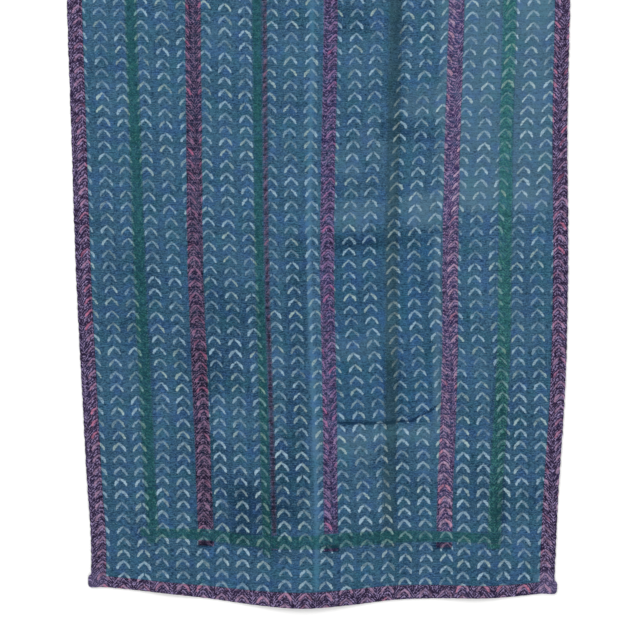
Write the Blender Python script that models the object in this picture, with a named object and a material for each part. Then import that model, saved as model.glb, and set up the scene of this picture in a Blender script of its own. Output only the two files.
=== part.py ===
"""Quilted cotton throw, laid out flat with its printed face up.

Layers of old cotton are run-stitched together in rows across the width, so the face is ribbed.
Turned-under strips of red and green cotton are sewn down its length, one green strip crosses
them near each end, a patch mends the middle, and a folded strip binds every edge.

Metres, +Z up, +Y towards the upper end. The origin is on the surface under the middle.
A place on the cloth is given by its share of the width, 0 at the left edge to 1 at the right,
and by how far up the cloth it is from the lower end.
"""

import math
from collections import namedtuple

import bmesh
import bpy
from mathutils import Vector

# Driving sizes
WIDTH = 1.270
LENGTH = 1.780
CLOTH = 0.0034  # the quilted layers where they puff up between two rows of stitches
STRIP = 0.0010  # a turned-under cotton strip, patch or leaf of the binding
GAP = 0.0004  # between pieces that lie on each other
EDGE_GAP = 0.0008  # between the layers' cut edge and the fold of the binding

# The rows of running stitch
STITCH_ROWS = 72
STITCH_DIP = 0.0013  # how far a row pulls the face down
DIP_SPREAD = 0.2  # share by which that differs from row to row
DIP_TURN = 2.1  # radians from one row to the next in that difference
ROW_WANDER = 0.003  # how far a hand-stitched row strays up and down
WANDERS_ACROSS = 1.3  # how many times it does so across the width
WANDER_TURN = 0.17  # share of a turn from one half row to the next in that straying

# The strip that binds the edges, and its bulky lower corners
BINDING_WIDTH = 0.038
BINDING_ROUND = 0.0018
LIFT = STRIP + GAP  # the layers lie this far up where the binding runs under them
CORNER_BULGE = 0.006
CORNER_REACH = 0.022
CORNER_SHOULDER = 0.0154  # where the bulge is shaped by a section of its own
CORNER_OUT = 0.007
CORNER_THICKER = 0.0012

# The seam that joins the two lengths of the face cloth
SEAM_HALF = 0.012
SEAM_RISE = 0.0016

# The green strips that cross near both ends, and the patch
CROSS_WIDTH = 0.032
CROSS_MIDDLE = 0.168
CROSS_PAST = 0.018  # how far it runs on past the first lengthwise strip
PATCH_LOW, PATCH_HIGH = 0.462, 0.949
PATCH_INSET = 0.002
RAMP = 0.012  # length over which a strip climbs on to the patch

# How far each side edge is drawn in from the full width, by height up the cloth
Sides = namedtuple("Sides", "up left right")
SIDES = (
    Sides(0.00, 0.0606, 0.0404),
    Sides(0.15, 0.0606, 0.0354),
    Sides(0.31, 0.0505, 0.0278),
    Sides(0.55, 0.0379, 0.0126),
    Sides(0.85, 0.0227, 0.0050),
    Sides(1.23, 0.0101, 0.0065),
    Sides(1.54, 0.0000, 0.0000),
    Sides(LENGTH, 0.0000, 0.0000),
)

# How far the lower edge rises above its lowest point, by share of the width
Hem = namedtuple("Hem", "share rise")
HEM = (
    Hem(0.00, 0.0568),
    Hem(0.12, 0.0429),
    Hem(0.25, 0.0253),
    Hem(0.36, 0.0080),
    Hem(0.46, 0.0000),
    Hem(0.56, 0.0080),
    Hem(0.66, 0.0215),
    Hem(0.77, 0.0253),
    Hem(0.88, 0.0262),
    Hem(1.00, 0.0405),
)
HEM_FADE = 0.20  # height over which that bow dies out

# Lengthwise lines: the middle of each strip and of the seam, as shares of the width at three
# heights, because hand-sewn strips stray. end is how far the strip stops from each end.
LOW_AT, MIDDLE_AT, HIGH_AT = 0.22, 0.78, 1.51
Line = namedtuple("Line", "name low middle high width end")
LINES = (
    Line("green_strip_1", 0.134, 0.130, 0.127, 0.032, 0.141),
    Line("red_strip_1", 0.248, 0.243, 0.250, 0.040, 0.142),
    Line("green_strip_2", 0.379, 0.373, 0.377, 0.024, 0.128),
    Line("seam", 0.486, 0.474, 0.4875, 2 * SEAM_HALF, 0.0),
    Line("red_strip_2", 0.516, 0.510, 0.524, 0.036, 0.145),
    Line("green_strip_3", 0.640, 0.640, 0.653, 0.034, 0.145),
    Line("red_strip_3", 0.759, 0.760, 0.774, 0.040, 0.142),
    Line("green_strip_4", 0.866, 0.871, 0.880, 0.036, 0.136),
)
EDGING_NAME = "red_edging"  # the narrow strip that runs beside this green one
EDGING_BESIDE = "green_strip_2"
EDGING_WIDTH = 0.014
EDGING_END = 0.146
FREE_SPAN = 0.05  # share of the width past which a span gets a line of its own in the middle

# The middle of the crossing strip above the lower end, by share of the width
Cross = namedtuple("Cross", "share up")
CROSS = (
    Cross(0.13, 0.174),
    Cross(0.25, 0.175),
    Cross(0.36, 0.166),
    Cross(0.46, 0.167),
    Cross(0.58, 0.170),
    Cross(0.72, 0.170),
    Cross(0.87, 0.165),
)

# Soft lengthwise swells where the quilt doesn't lie flat: how high each stands at four heights
Fold = namedtuple("Fold", "centre half_width low third two_thirds high")
FOLDS = (
    Fold(0.17, 0.105, 0.0060, 0.0035, 0.0050, 0.0030),
    Fold(0.45, 0.215, 0.0120, 0.0065, 0.0030, 0.0045),
    Fold(0.82, 0.115, 0.0080, 0.0050, 0.0025, 0.0040),
)

HALF_ROWS = 2 * STITCH_ROWS
ROW_STEP = LENGTH / HALF_ROWS
COARSE = 8  # half rows between the stations of the back, the binding and the strips
BACK_STEP = (3, 5)  # half rows between which the back comes down from over the binding

# Colours of the overdyed cottons: red, green, blue, and roughness
Cotton = namedtuple("Cotton", "red green blue roughness")
COTTONS = {
    "ground": Cotton(0.045, 0.120, 0.200, 0.90),
    "patch": Cotton(0.040, 0.105, 0.195, 0.90),
    "red": Cotton(0.095, 0.055, 0.115, 0.88),
    "green": Cotton(0.028, 0.105, 0.135, 0.88),
    "binding": Cotton(0.090, 0.070, 0.140, 0.88),
}


def smooth(table, where, heading):
    """Reads a column of a table at a place between its rows, along a Catmull-Rom curve."""
    rows = [(row[0], getattr(row, heading)) for row in table]
    where = min(max(where, rows[0][0]), rows[-1][0])
    i = next(k for k in range(len(rows) - 1) if where <= rows[k + 1][0])
    (x0, y0), (x1, y1) = rows[i], rows[i + 1]
    before = rows[i - 1] if i > 0 else rows[i]
    after = rows[i + 2] if i + 2 < len(rows) else rows[i + 1]
    slope0 = (y1 - before[1]) / (x1 - before[0])
    slope1 = (after[1] - y0) / (after[0] - x0)
    span = x1 - x0
    t = (where - x0) / span
    rise = (3 - 2 * t) * t * t
    lean0 = t * (1 - t) ** 2 * span * slope0
    lean1 = t * t * (t - 1) * span * slope1
    return y0 + (y1 - y0) * rise + lean0 + lean1


def width_at(up):
    """Width of the cloth at a height."""
    return WIDTH - smooth(SIDES, up, "left") - smooth(SIDES, up, "right")


def place(share, up, z):
    """The point of the cloth at a share of the width, a height up the cloth and a height z."""
    x = -WIDTH / 2 + smooth(SIDES, up, "left") + share * width_at(up)
    bow = smooth(HEM, share, "rise") * math.exp(-up / HEM_FADE)
    return Vector((x, up - LENGTH / 2 + bow, z))


def swell(share, up):
    """How far the folds lift the cloth off the surface."""
    thirds = 3
    along = min(max(thirds * up / LENGTH, 0.0), thirds)
    k = min(int(along), thirds - 1)
    total = 0.0
    for fold in FOLDS:
        heights = (fold.low, fold.third, fold.two_thirds, fold.high)
        height = heights[k] + (heights[k + 1] - heights[k]) * (along - k)
        across = abs(share - fold.centre) * WIDTH / fold.half_width
        if across < 1:
            total += height * math.cos(across * math.pi / 2) ** 2
    return total


def line_middle(line, up):
    """Share of the width where a line's middle runs at a height."""
    where = min(max(up, LOW_AT), HIGH_AT)
    if where < MIDDLE_AT:
        t = (where - LOW_AT) / (MIDDLE_AT - LOW_AT)
        low, high = line.low, line.middle
    else:
        t = (where - MIDDLE_AT) / (HIGH_AT - MIDDLE_AT)
        low, high = line.middle, line.high
    return low + (high - low) * (3 - 2 * t) * t * t


def marks_at(up):
    """The lengthwise lines of the cloth at a height, left to right, as (name, share)."""
    width = width_at(up)
    marks = [("edge_left", 0.0), ("bound_left", BINDING_WIDTH / width)]
    for line in LINES:
        middle = line_middle(line, up)
        half = line.width / 2 / width
        marks.append((line.name + ".left", middle - half))
        if line.name == "seam":
            marks.append(("seam.crest", middle))
        marks.append((line.name + ".right", middle + half))
        if line.name == EDGING_BESIDE:
            marks.append((EDGING_NAME + ".right", middle + half + EDGING_WIDTH / width))
    marks += [("bound_right", 1 - BINDING_WIDTH / width), ("edge_right", 1.0)]
    return marks


def free_spans():
    """Which marks have so wide a span after them that it gets a line in its middle."""
    marks = marks_at(MIDDLE_AT)
    return [b[1] - a[1] > FREE_SPAN for a, b in zip(marks, marks[1:])]


SPLIT_AFTER = free_spans()


def columns_at(up):
    """The marks at a height with the middles of the free spans between them."""
    marks = marks_at(up)
    columns = [marks[0]]
    for before, after, split in zip(marks, marks[1:], SPLIT_AFTER):
        if split:
            columns.append(("free", (before[1] + after[1]) / 2))
        columns.append(after)
    return columns


NAMES = [name for name, _ in columns_at(MIDDLE_AT)]


def column(name):
    """The number of a named column."""
    return NAMES.index(name)


def shares_at(up, first=0, last=None):
    """The shares of a run of columns at a height."""
    found = [share for _, share in columns_at(up)]
    return found[first : len(found) if last is None else last + 1]


def lift_at(number, up):
    """How far the layers stand up to make room for the binding under them."""
    bound_side = number <= 1 or number >= len(NAMES) - 2
    bound_end = min(up, LENGTH - up) < BINDING_WIDTH + ROW_STEP / 2
    return LIFT if bound_side or bound_end else 0.0


def crest(number, share, up):
    """Height of the face of the layers where it puffs up between two rows of stitches."""
    return swell(share, up) + lift_at(number, up) + CLOTH


def seam_rise(up):
    """How proud the seam stands: it is pressed flat where the binding covers it."""
    free = min(up, LENGTH - up) - BINDING_WIDTH
    return SEAM_RISE if free > ROW_STEP / 2 else 0.0


def resting(share, up):
    """Height of the face at any share: it runs straight between the columns on either side."""
    shares = shares_at(up)
    i = next(k for k in range(len(shares) - 1) if share <= shares[k + 1])
    low, high = crest(i, shares[i], up), crest(i + 1, shares[i + 1], up)
    return low + (high - low) * (share - shares[i]) / (shares[i + 1] - shares[i])


def half_row_up(j):
    """Height up the cloth of a half row: even ones are stitched down, odd ones are crests."""
    inset = STRIP + EDGE_GAP
    return min(max(j * ROW_STEP, inset), LENGTH - inset)


def new_object(name, bm, cotton):
    """Turns a bmesh into a named object with a material of its cotton."""
    bmesh.ops.recalc_face_normals(bm, faces=bm.faces)
    mesh = bpy.data.meshes.new(name)
    bm.to_mesh(mesh)
    bm.free()
    material = bpy.data.materials.new(name)
    material.use_nodes = True
    shader = material.node_tree.nodes["Principled BSDF"]
    look = COTTONS[cotton]
    shader.inputs["Base Color"].default_value = (look.red, look.green, look.blue, 1.0)
    shader.inputs["Roughness"].default_value = look.roughness
    shader.inputs["Metallic"].default_value = 0.0
    mesh.materials.append(material)
    thing = bpy.data.objects.new(name, mesh)
    bpy.context.scene.collection.objects.link(thing)
    return thing


def ground_face_point(j, number, share):
    """A point of the ribbed face: half row j on a column."""
    up = half_row_up(j)
    inner = 0 < j < HALF_ROWS
    if inner:
        up += ROW_WANDER * math.sin(math.tau * (WANDERS_ACROSS * share + WANDER_TURN * j))
    z = crest(number, share, up)
    if number in (0, len(NAMES) - 1):
        inset = (STRIP + EDGE_GAP) / width_at(up)
        share = inset if number == 0 else 1 - inset
    if NAMES[number] == "seam.crest":
        z += seam_rise(up)
    if j % 2 == 0:
        z -= STITCH_DIP * (1 + DIP_SPREAD * math.sin(DIP_TURN * j))
    return place(share, up, z)


def ground_back_point(j, number, share):
    """A point of the back: it lies on the surface but for the folds and the binding."""
    up = half_row_up(j)
    z = swell(share, up) + lift_at(number, up)
    if number in (0, len(NAMES) - 1):
        inset = (STRIP + EDGE_GAP) / width_at(up)
        share = inset if number == 0 else 1 - inset
    return place(share, up, z)


def make_ground():
    """The quilted layers: a ribbed face, a plainer back and the cut edges between them."""
    step_up = [HALF_ROWS - j for j in BACK_STEP]
    back_rows = sorted({0, HALF_ROWS, *range(COARSE, HALF_ROWS, COARSE), *BACK_STEP, *step_up})
    bm = bmesh.new()
    face = []
    for j in range(HALF_ROWS + 1):
        shares = shares_at(half_row_up(j))
        face.append([bm.verts.new(ground_face_point(j, n, s)) for n, s in enumerate(shares)])
    back = []
    for j in back_rows:
        shares = shares_at(half_row_up(j))
        back.append([bm.verts.new(ground_back_point(j, n, s)) for n, s in enumerate(shares)])
    for rows in (face, back):
        for a, b in zip(rows, rows[1:]):
            for i in range(len(a) - 1):
                bm.faces.new((a[i], a[i + 1], b[i + 1], b[i]))
    for f, b in ((face[0], back[0]), (face[-1], back[-1])):
        for i in range(len(f) - 1):
            bm.faces.new((b[i], b[i + 1], f[i + 1], f[i]))
    for side in (0, -1):
        for k in range(len(back_rows) - 1):
            low, high = back[k][side], back[k + 1][side]
            first, last = back_rows[k], back_rows[k + 1]
            middle = (first + last) // 2
            bm.faces.new((low, high, face[middle][side]))
            for j in range(first, last):
                corner = low if j < middle else high
                bm.faces.new((face[j][side], face[j + 1][side], corner))
    new_object("quilted_ground", bm, "ground")


def make_slab(name, cotton, rows):
    """A strip or patch: rows of (share, height up, height of its underside), one strip thick."""
    bm = bmesh.new()
    under = [[bm.verts.new(place(s, up, z)) for s, up, z in row] for row in rows]
    over = [[bm.verts.new(place(s, up, z + STRIP)) for s, up, z in row] for row in rows]
    for grid in (under, over):
        for a, b in zip(grid, grid[1:]):
            for i in range(len(a) - 1):
                bm.faces.new((a[i], a[i + 1], b[i + 1], b[i]))
    for a, b in ((under[0], over[0]), (under[-1], over[-1])):
        for i in range(len(a) - 1):
            bm.faces.new((a[i], a[i + 1], b[i + 1], b[i]))
    for side in (0, -1):
        for j in range(len(rows) - 1):
            a, b = under[j][side], under[j + 1][side]
            bm.faces.new((a, b, over[j + 1][side], over[j][side]))
    new_object(name, bm, cotton)


def strip_heights(end, extra=()):
    """Heights of a lengthwise strip's rows, from one end of it to the other."""
    inside = [half_row_up(j) for j in range(0, HALF_ROWS, COARSE)]
    kept = [up for up in inside if end + RAMP < up < LENGTH - end - RAMP]
    return sorted([end, *kept, *extra, LENGTH - end])


def make_strip(name, cotton, left, right, end, gap_left=0.0):
    """A strip sewn down the length between two columns; it climbs over the patch if it meets it."""
    over_patch = column("red_strip_2.right") < left < column("red_strip_3.left")
    extra = ()
    if over_patch:
        extra = (PATCH_LOW - RAMP, PATCH_LOW, PATCH_HIGH, PATCH_HIGH + RAMP)
    rows = []
    for up in strip_heights(end, extra):
        z_more = GAP
        if over_patch and PATCH_LOW <= up <= PATCH_HIGH:
            z_more += STRIP + GAP
        row = []
        for number, share in zip(range(left, right + 1), shares_at(up, left, right)):
            z = crest(number, share, up) + z_more
            if number == left:
                share += gap_left / width_at(up)
            row.append((share, up, z))
        rows.append(row)
    make_slab(name, cotton, rows)


def make_strips():
    """The lengthwise strips, each between its own two columns."""
    for line in LINES:
        if line.name == "seam":
            continue
        cotton = "red" if line.name.startswith("red") else "green"
        make_strip(line.name, cotton, column(line.name + ".left"), column(line.name + ".right"), line.end)
    beside = column(EDGING_BESIDE + ".right")
    make_strip(EDGING_NAME, "red", beside, column(EDGING_NAME + ".right"), EDGING_END, GAP)


def make_patch():
    """The mending patch between two of the red strips."""
    left, right = column("red_strip_2.right"), column("red_strip_3.left")
    inside = [half_row_up(j) for j in range(0, HALF_ROWS, COARSE)]
    heights = [PATCH_LOW, *(up for up in inside if PATCH_LOW < up < PATCH_HIGH), PATCH_HIGH]
    rows = []
    for up in heights:
        row = []
        for number, share in zip(range(left, right + 1), shares_at(up, left, right)):
            z = crest(number, share, up) + GAP
            if number in (left, right):
                share += (1 if number == left else -1) * PATCH_INSET / width_at(up)
            row.append((share, up, z))
        rows.append(row)
    make_slab("mending_patch", "patch", rows)


def strip_columns():
    """The columns that lie on a lengthwise strip, where a crossing strip has to climb."""
    on = set()
    for line in LINES:
        if line.name != "seam":
            on |= {column(line.name + ".left"), column(line.name + ".right")}
    on.add(column(EDGING_NAME + ".right"))
    return on


def make_cross(name, from_top):
    """The green strip that crosses the others near one end, over their ends."""
    first, last = column("green_strip_1.left"), column("green_strip_4.right")
    on_strip = strip_columns()
    rows = [[], []]
    for number in range(first, last + 1):
        nominal = LENGTH - CROSS_MIDDLE if from_top else CROSS_MIDDLE
        share = shares_at(nominal)[number]
        centre = smooth(CROSS, share, "up")
        for row, side in zip(rows, (-1, 1)):
            up = centre + side * CROSS_WIDTH / 2
            up = LENGTH - up if from_top else up
            here = shares_at(up)[number]
            if number == first:
                past = here - CROSS_PAST / width_at(up)
                climb = here - GAP / width_at(up)
                row.append((past, up, resting(past, up) + GAP))
                row.append((climb, up, resting(climb, up) + STRIP + 2 * GAP))
                continue
            z = crest(number, here, up) + GAP
            if number in on_strip:
                z += STRIP + GAP
            if NAMES[number] == "seam.crest":
                z += seam_rise(up)
            row.append((here, up, z))
    make_slab(name, "green", rows)


def channel(heights, outer):
    """The section of the binding: (distance in from the edge, height), bottom inner corner first."""
    low, high = heights
    corner = BINDING_ROUND
    return [
        (BINDING_WIDTH, low),
        (outer + corner, low),
        (outer, low + corner),
        (outer, high - corner),
        (outer + corner, high),
        (BINDING_WIDTH, high),
        (BINDING_WIDTH, high - STRIP),
        (STRIP, high - STRIP),
        (STRIP, low + STRIP),
        (BINDING_WIDTH, low + STRIP),
    ]


OUTER_LOOP = 6  # the first points of a section go round its outside


def make_channel(name, sections, plugs):
    """Joins the binding's sections. Where an end has a plug, it goes on as a solid corner."""
    bm = bmesh.new()
    rings = [[bm.verts.new(p) for p in section] for section in sections]
    count = len(rings[0])
    for a, b in zip(rings, rings[1:]):
        for i in range(count):
            k = (i + 1) % count
            bm.faces.new((a[i], a[k], b[k], b[i]))
    for ring, plug in zip((rings[0], rings[-1]), plugs):
        if not plug:
            bm.faces.new(ring)
            continue
        bm.faces.new(ring[OUTER_LOOP:])
        loops = [[bm.verts.new(p) for p in loop] for loop in plug]
        before = ring[:OUTER_LOOP]
        for loop in loops:
            for i in range(OUTER_LOOP - 1):
                bm.faces.new((before[i], before[i + 1], loop[i + 1], loop[i]))
            inner = [before[-1], before[0]]
            if before[0] is ring[0]:
                inner = [ring[OUTER_LOOP - 1], ring[OUTER_LOOP], ring[-1], ring[0]]
            bm.faces.new((*inner, loop[0], loop[-1]))
            before = loop
        bm.faces.new(before)
    new_object(name, bm, "binding")


def section_heights(share, up):
    """Bottom and top of the binding over the layers at a place."""
    low = swell(share, up)
    return low, low + LIFT + CLOTH + GAP + STRIP


def make_side_binding(name, right):
    """The binding down one side, between the two end strips."""
    stop = BINDING_WIDTH + GAP
    inside = [half_row_up(j) for j in range(COARSE, HALF_ROWS, COARSE)]
    sections = []
    for up in [stop, *inside, LENGTH - stop]:
        points = []
        for distance, z in channel(section_heights(0.0, up), 0.0):
            share = distance / width_at(up)
            points.append(place(1 - share if right else share, up, z))
        sections.append(points)
    make_channel(name, sections, (None, None))


def corner_bulge(distance, lower):
    """How far the folded-in corner pushes the lower edge out, by distance from the side."""
    return CORNER_BULGE * math.exp(-((distance / CORNER_REACH) ** 2)) if lower else 0.0


def make_end_binding(name, lower):
    """The binding across one end: it runs over the ends of the side strips and is folded shut."""

    def points(share, shift, bulge, thicker, count, shrink=0.0):
        """One section at a share of the width, shift metres further right."""
        found = []
        edge_up = 0.0 if lower else LENGTH
        low, high = section_heights(share, edge_up)
        heights = (low + shrink, high + thicker - shrink)
        for distance, z in channel(heights, -bulge)[:count]:
            up = distance if lower else LENGTH - distance
            drop = swell(share, up) - swell(share, edge_up)
            at = place(share, up, z + drop)
            at.x += shift
            found.append(at)
        return found

    edge_up = 0.0 if lower else LENGTH
    width = width_at(edge_up)
    between = CORNER_SHOULDER / width
    inner = shares_at(edge_up)[1:-1]
    shares = [STRIP / width, between, *inner, 1 - between, 1 - STRIP / width]
    sections = []
    for share in shares:
        distance = min(share, 1 - share) * width
        bulge = corner_bulge(distance, lower)
        thicker = CORNER_THICKER * bulge / CORNER_BULGE
        sections.append(points(share, 0.0, bulge, thicker, None))
    plugs = []
    for share, way in ((0.0, -1), (1.0, 1)):
        if lower:
            plugs.append(
                [
                    points(share, way * CORNER_OUT / 2, CORNER_BULGE, CORNER_THICKER, OUTER_LOOP),
                    points(share, way * CORNER_OUT, 0.0, 0.0, OUTER_LOOP, BINDING_ROUND / 2),
                ]
            )
        else:
            plugs.append([points(share, 0.0, 0.0, 0.0, OUTER_LOOP)])
    make_channel(name, sections, plugs)


def main():
    for old in list(bpy.data.objects):
        bpy.data.objects.remove(old)
    make_ground()
    make_strips()
    make_patch()
    make_cross("green_cross_lower", from_top=False)
    make_cross("green_cross_upper", from_top=True)
    make_side_binding("binding_left", right=False)
    make_side_binding("binding_right", right=True)
    make_end_binding("binding_lower", lower=True)
    make_end_binding("binding_upper", lower=False)


main()
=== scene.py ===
"""Dresses an old quilted cotton throw that lies face up on a pale floor.

The throw is layered cotton, run-stitched together in rows across its width, with strips sewn
down its length, a mending patch and a folded binding. It was dyed over with indigo and block
printed with rows of small chevrons. Metres, +Z up, +Y towards the upper end. A place on the
cloth is its share of the width and how far up the cloth it is.
"""

import logging
import math
from dataclasses import dataclass, field, replace
from enum import Enum, IntEnum
from functools import cached_property
from typing import Any

import bmesh
import bpy
import numpy as np
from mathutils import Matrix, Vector


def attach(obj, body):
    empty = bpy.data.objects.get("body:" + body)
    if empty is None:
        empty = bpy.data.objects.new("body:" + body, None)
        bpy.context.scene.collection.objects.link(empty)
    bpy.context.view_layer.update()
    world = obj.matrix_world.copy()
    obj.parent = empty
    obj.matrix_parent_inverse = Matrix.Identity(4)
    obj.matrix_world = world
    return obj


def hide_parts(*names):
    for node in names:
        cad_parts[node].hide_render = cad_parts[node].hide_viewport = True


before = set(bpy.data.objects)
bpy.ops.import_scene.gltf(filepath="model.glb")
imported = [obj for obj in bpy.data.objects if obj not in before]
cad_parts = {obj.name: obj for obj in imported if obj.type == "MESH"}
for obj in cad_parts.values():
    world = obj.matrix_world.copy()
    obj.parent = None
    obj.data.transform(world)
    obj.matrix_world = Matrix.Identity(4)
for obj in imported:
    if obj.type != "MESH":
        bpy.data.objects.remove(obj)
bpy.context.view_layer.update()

log = logging.getLogger("throw")
MM = 0.001
Array = np.ndarray
Ramp = tuple[float, float, float, float]


def linear(code: str) -> tuple[float, float, float, float]:
    """Turns an sRGB hex colour to the linear values that shaders take.

    Args:
        code: six hex digits after a hash sign.

    Returns:
        Red, green, blue and an alpha of 1.
    """
    parts = [int(code[i : i + 2], 16) / 255 for i in (1, 3, 5)]
    return (*(p / 12.92 if p <= 0.04045 else ((p + 0.055) / 1.055) ** 2.4 for p in parts), 1.0)


class Field(IntEnum):
    """The fields of smooth random values, one for each thing that strays by hand."""

    FINE_PUCKER = 1
    FINER_PUCKER = 2
    BROAD_PUCKER = 3
    TIGHT_ROW = 5
    STRIP_EDGE = 7
    CREASE = 11
    STAIN_AND_SHADE_EDGE = 21
    BINDING_EDGE = 31


def ease(low: float | Array, high: float | Array, value: float | Array) -> Array:
    """Rises smoothly from 0 at low to 1 at high.

    Args:
        low: where the rise starts.
        high: where it ends.
        value: where it is read.

    Returns:
        A share from 0 to 1 for each value.
    """
    t = np.clip((value - low) / (high - low), 0.0, 1.0)
    return t * t * (3 - 2 * t)


def cloud(x: Array, y: Array, field_: Field) -> Array:
    """Smooth random values between -1 and 1 that turn over about once a unit.

    Args:
        x: places along the first axis.
        y: places along the second axis.
        field_: which of the fields to read.

    Returns:
        A value for each place.
    """
    x0, y0 = np.floor(x), np.floor(y)
    fx, fy = ease(0, 1, x - x0), ease(0, 1, y - y0)

    def corner(dx: int, dy: int) -> Array:
        """The random value at one corner of each place's cell."""
        dot = (x0 + dx) * 127.1 + (y0 + dy) * 311.7 + field_ * 74.7
        turned = np.sin(dot) * 43758.5453
        return 2 * (turned - np.floor(turned)) - 1

    low = corner(0, 0) * (1 - fx) + corner(1, 0) * fx
    high = corner(0, 1) * (1 - fx) + corner(1, 1) * fx
    return low * (1 - fy) + high * fy


@dataclass(frozen=True)
class Curve:
    """A smooth line through a few points."""

    at: tuple[float, ...]
    value: tuple[float, ...]

    def __call__(self, where: float | Array) -> Array:
        """Reads the line.

        Args:
            where: places along it; past either end it stays level.

        Returns:
            Its value at each place.
        """
        x, y = np.array(self.at), np.array(self.value)
        last = len(x) - 1
        where = np.clip(where, x[0], x[-1])
        i = np.clip(np.searchsorted(x, where, side="left") - 1, 0, last - 1)
        before, after = np.maximum(i - 1, 0), np.minimum(i + 2, last)
        span = x[i + 1] - x[i]
        slope0 = (y[i + 1] - y[before]) / (x[i + 1] - x[before])
        slope1 = (y[after] - y[i]) / (x[after] - x[i])
        t = (where - x[i]) / span
        lean0 = t * (1 - t) ** 2 * span * slope0
        lean1 = t * t * (t - 1) * span * slope1
        return y[i] + (y[i + 1] - y[i]) * (3 - 2 * t) * t * t + lean0 + lean1


@dataclass(frozen=True)
class Fold:
    """A soft lengthwise swell, with its heights at four places from the lower end up."""

    centre: float
    half_width: float
    heights: tuple[float, float, float, float]


@dataclass(frozen=True)
class Crease:
    """A soft trough, or a ridge if rise is above 0, from one place to another on the floor's plan."""

    start: tuple[float, float]
    end: tuple[float, float]
    rise: float
    half_width: float


@dataclass(frozen=True)
class Pucker:
    """One size of the small uneven puckers: its height, and how far apart they lie each way."""

    height: float
    across: float
    along: float
    field_: Field


@dataclass(frozen=True)
class Line:
    """A lengthwise strip: its middle as shares of the width at three heights, and its sizes."""

    name: str
    low: float
    middle: float
    high: float
    width: float
    end: float


class Level(Enum):
    """What lies on what, from the quilted layers up."""

    GROUND = 0
    PATCH = 1
    STRIP = 2
    CROSS = 3


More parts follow.
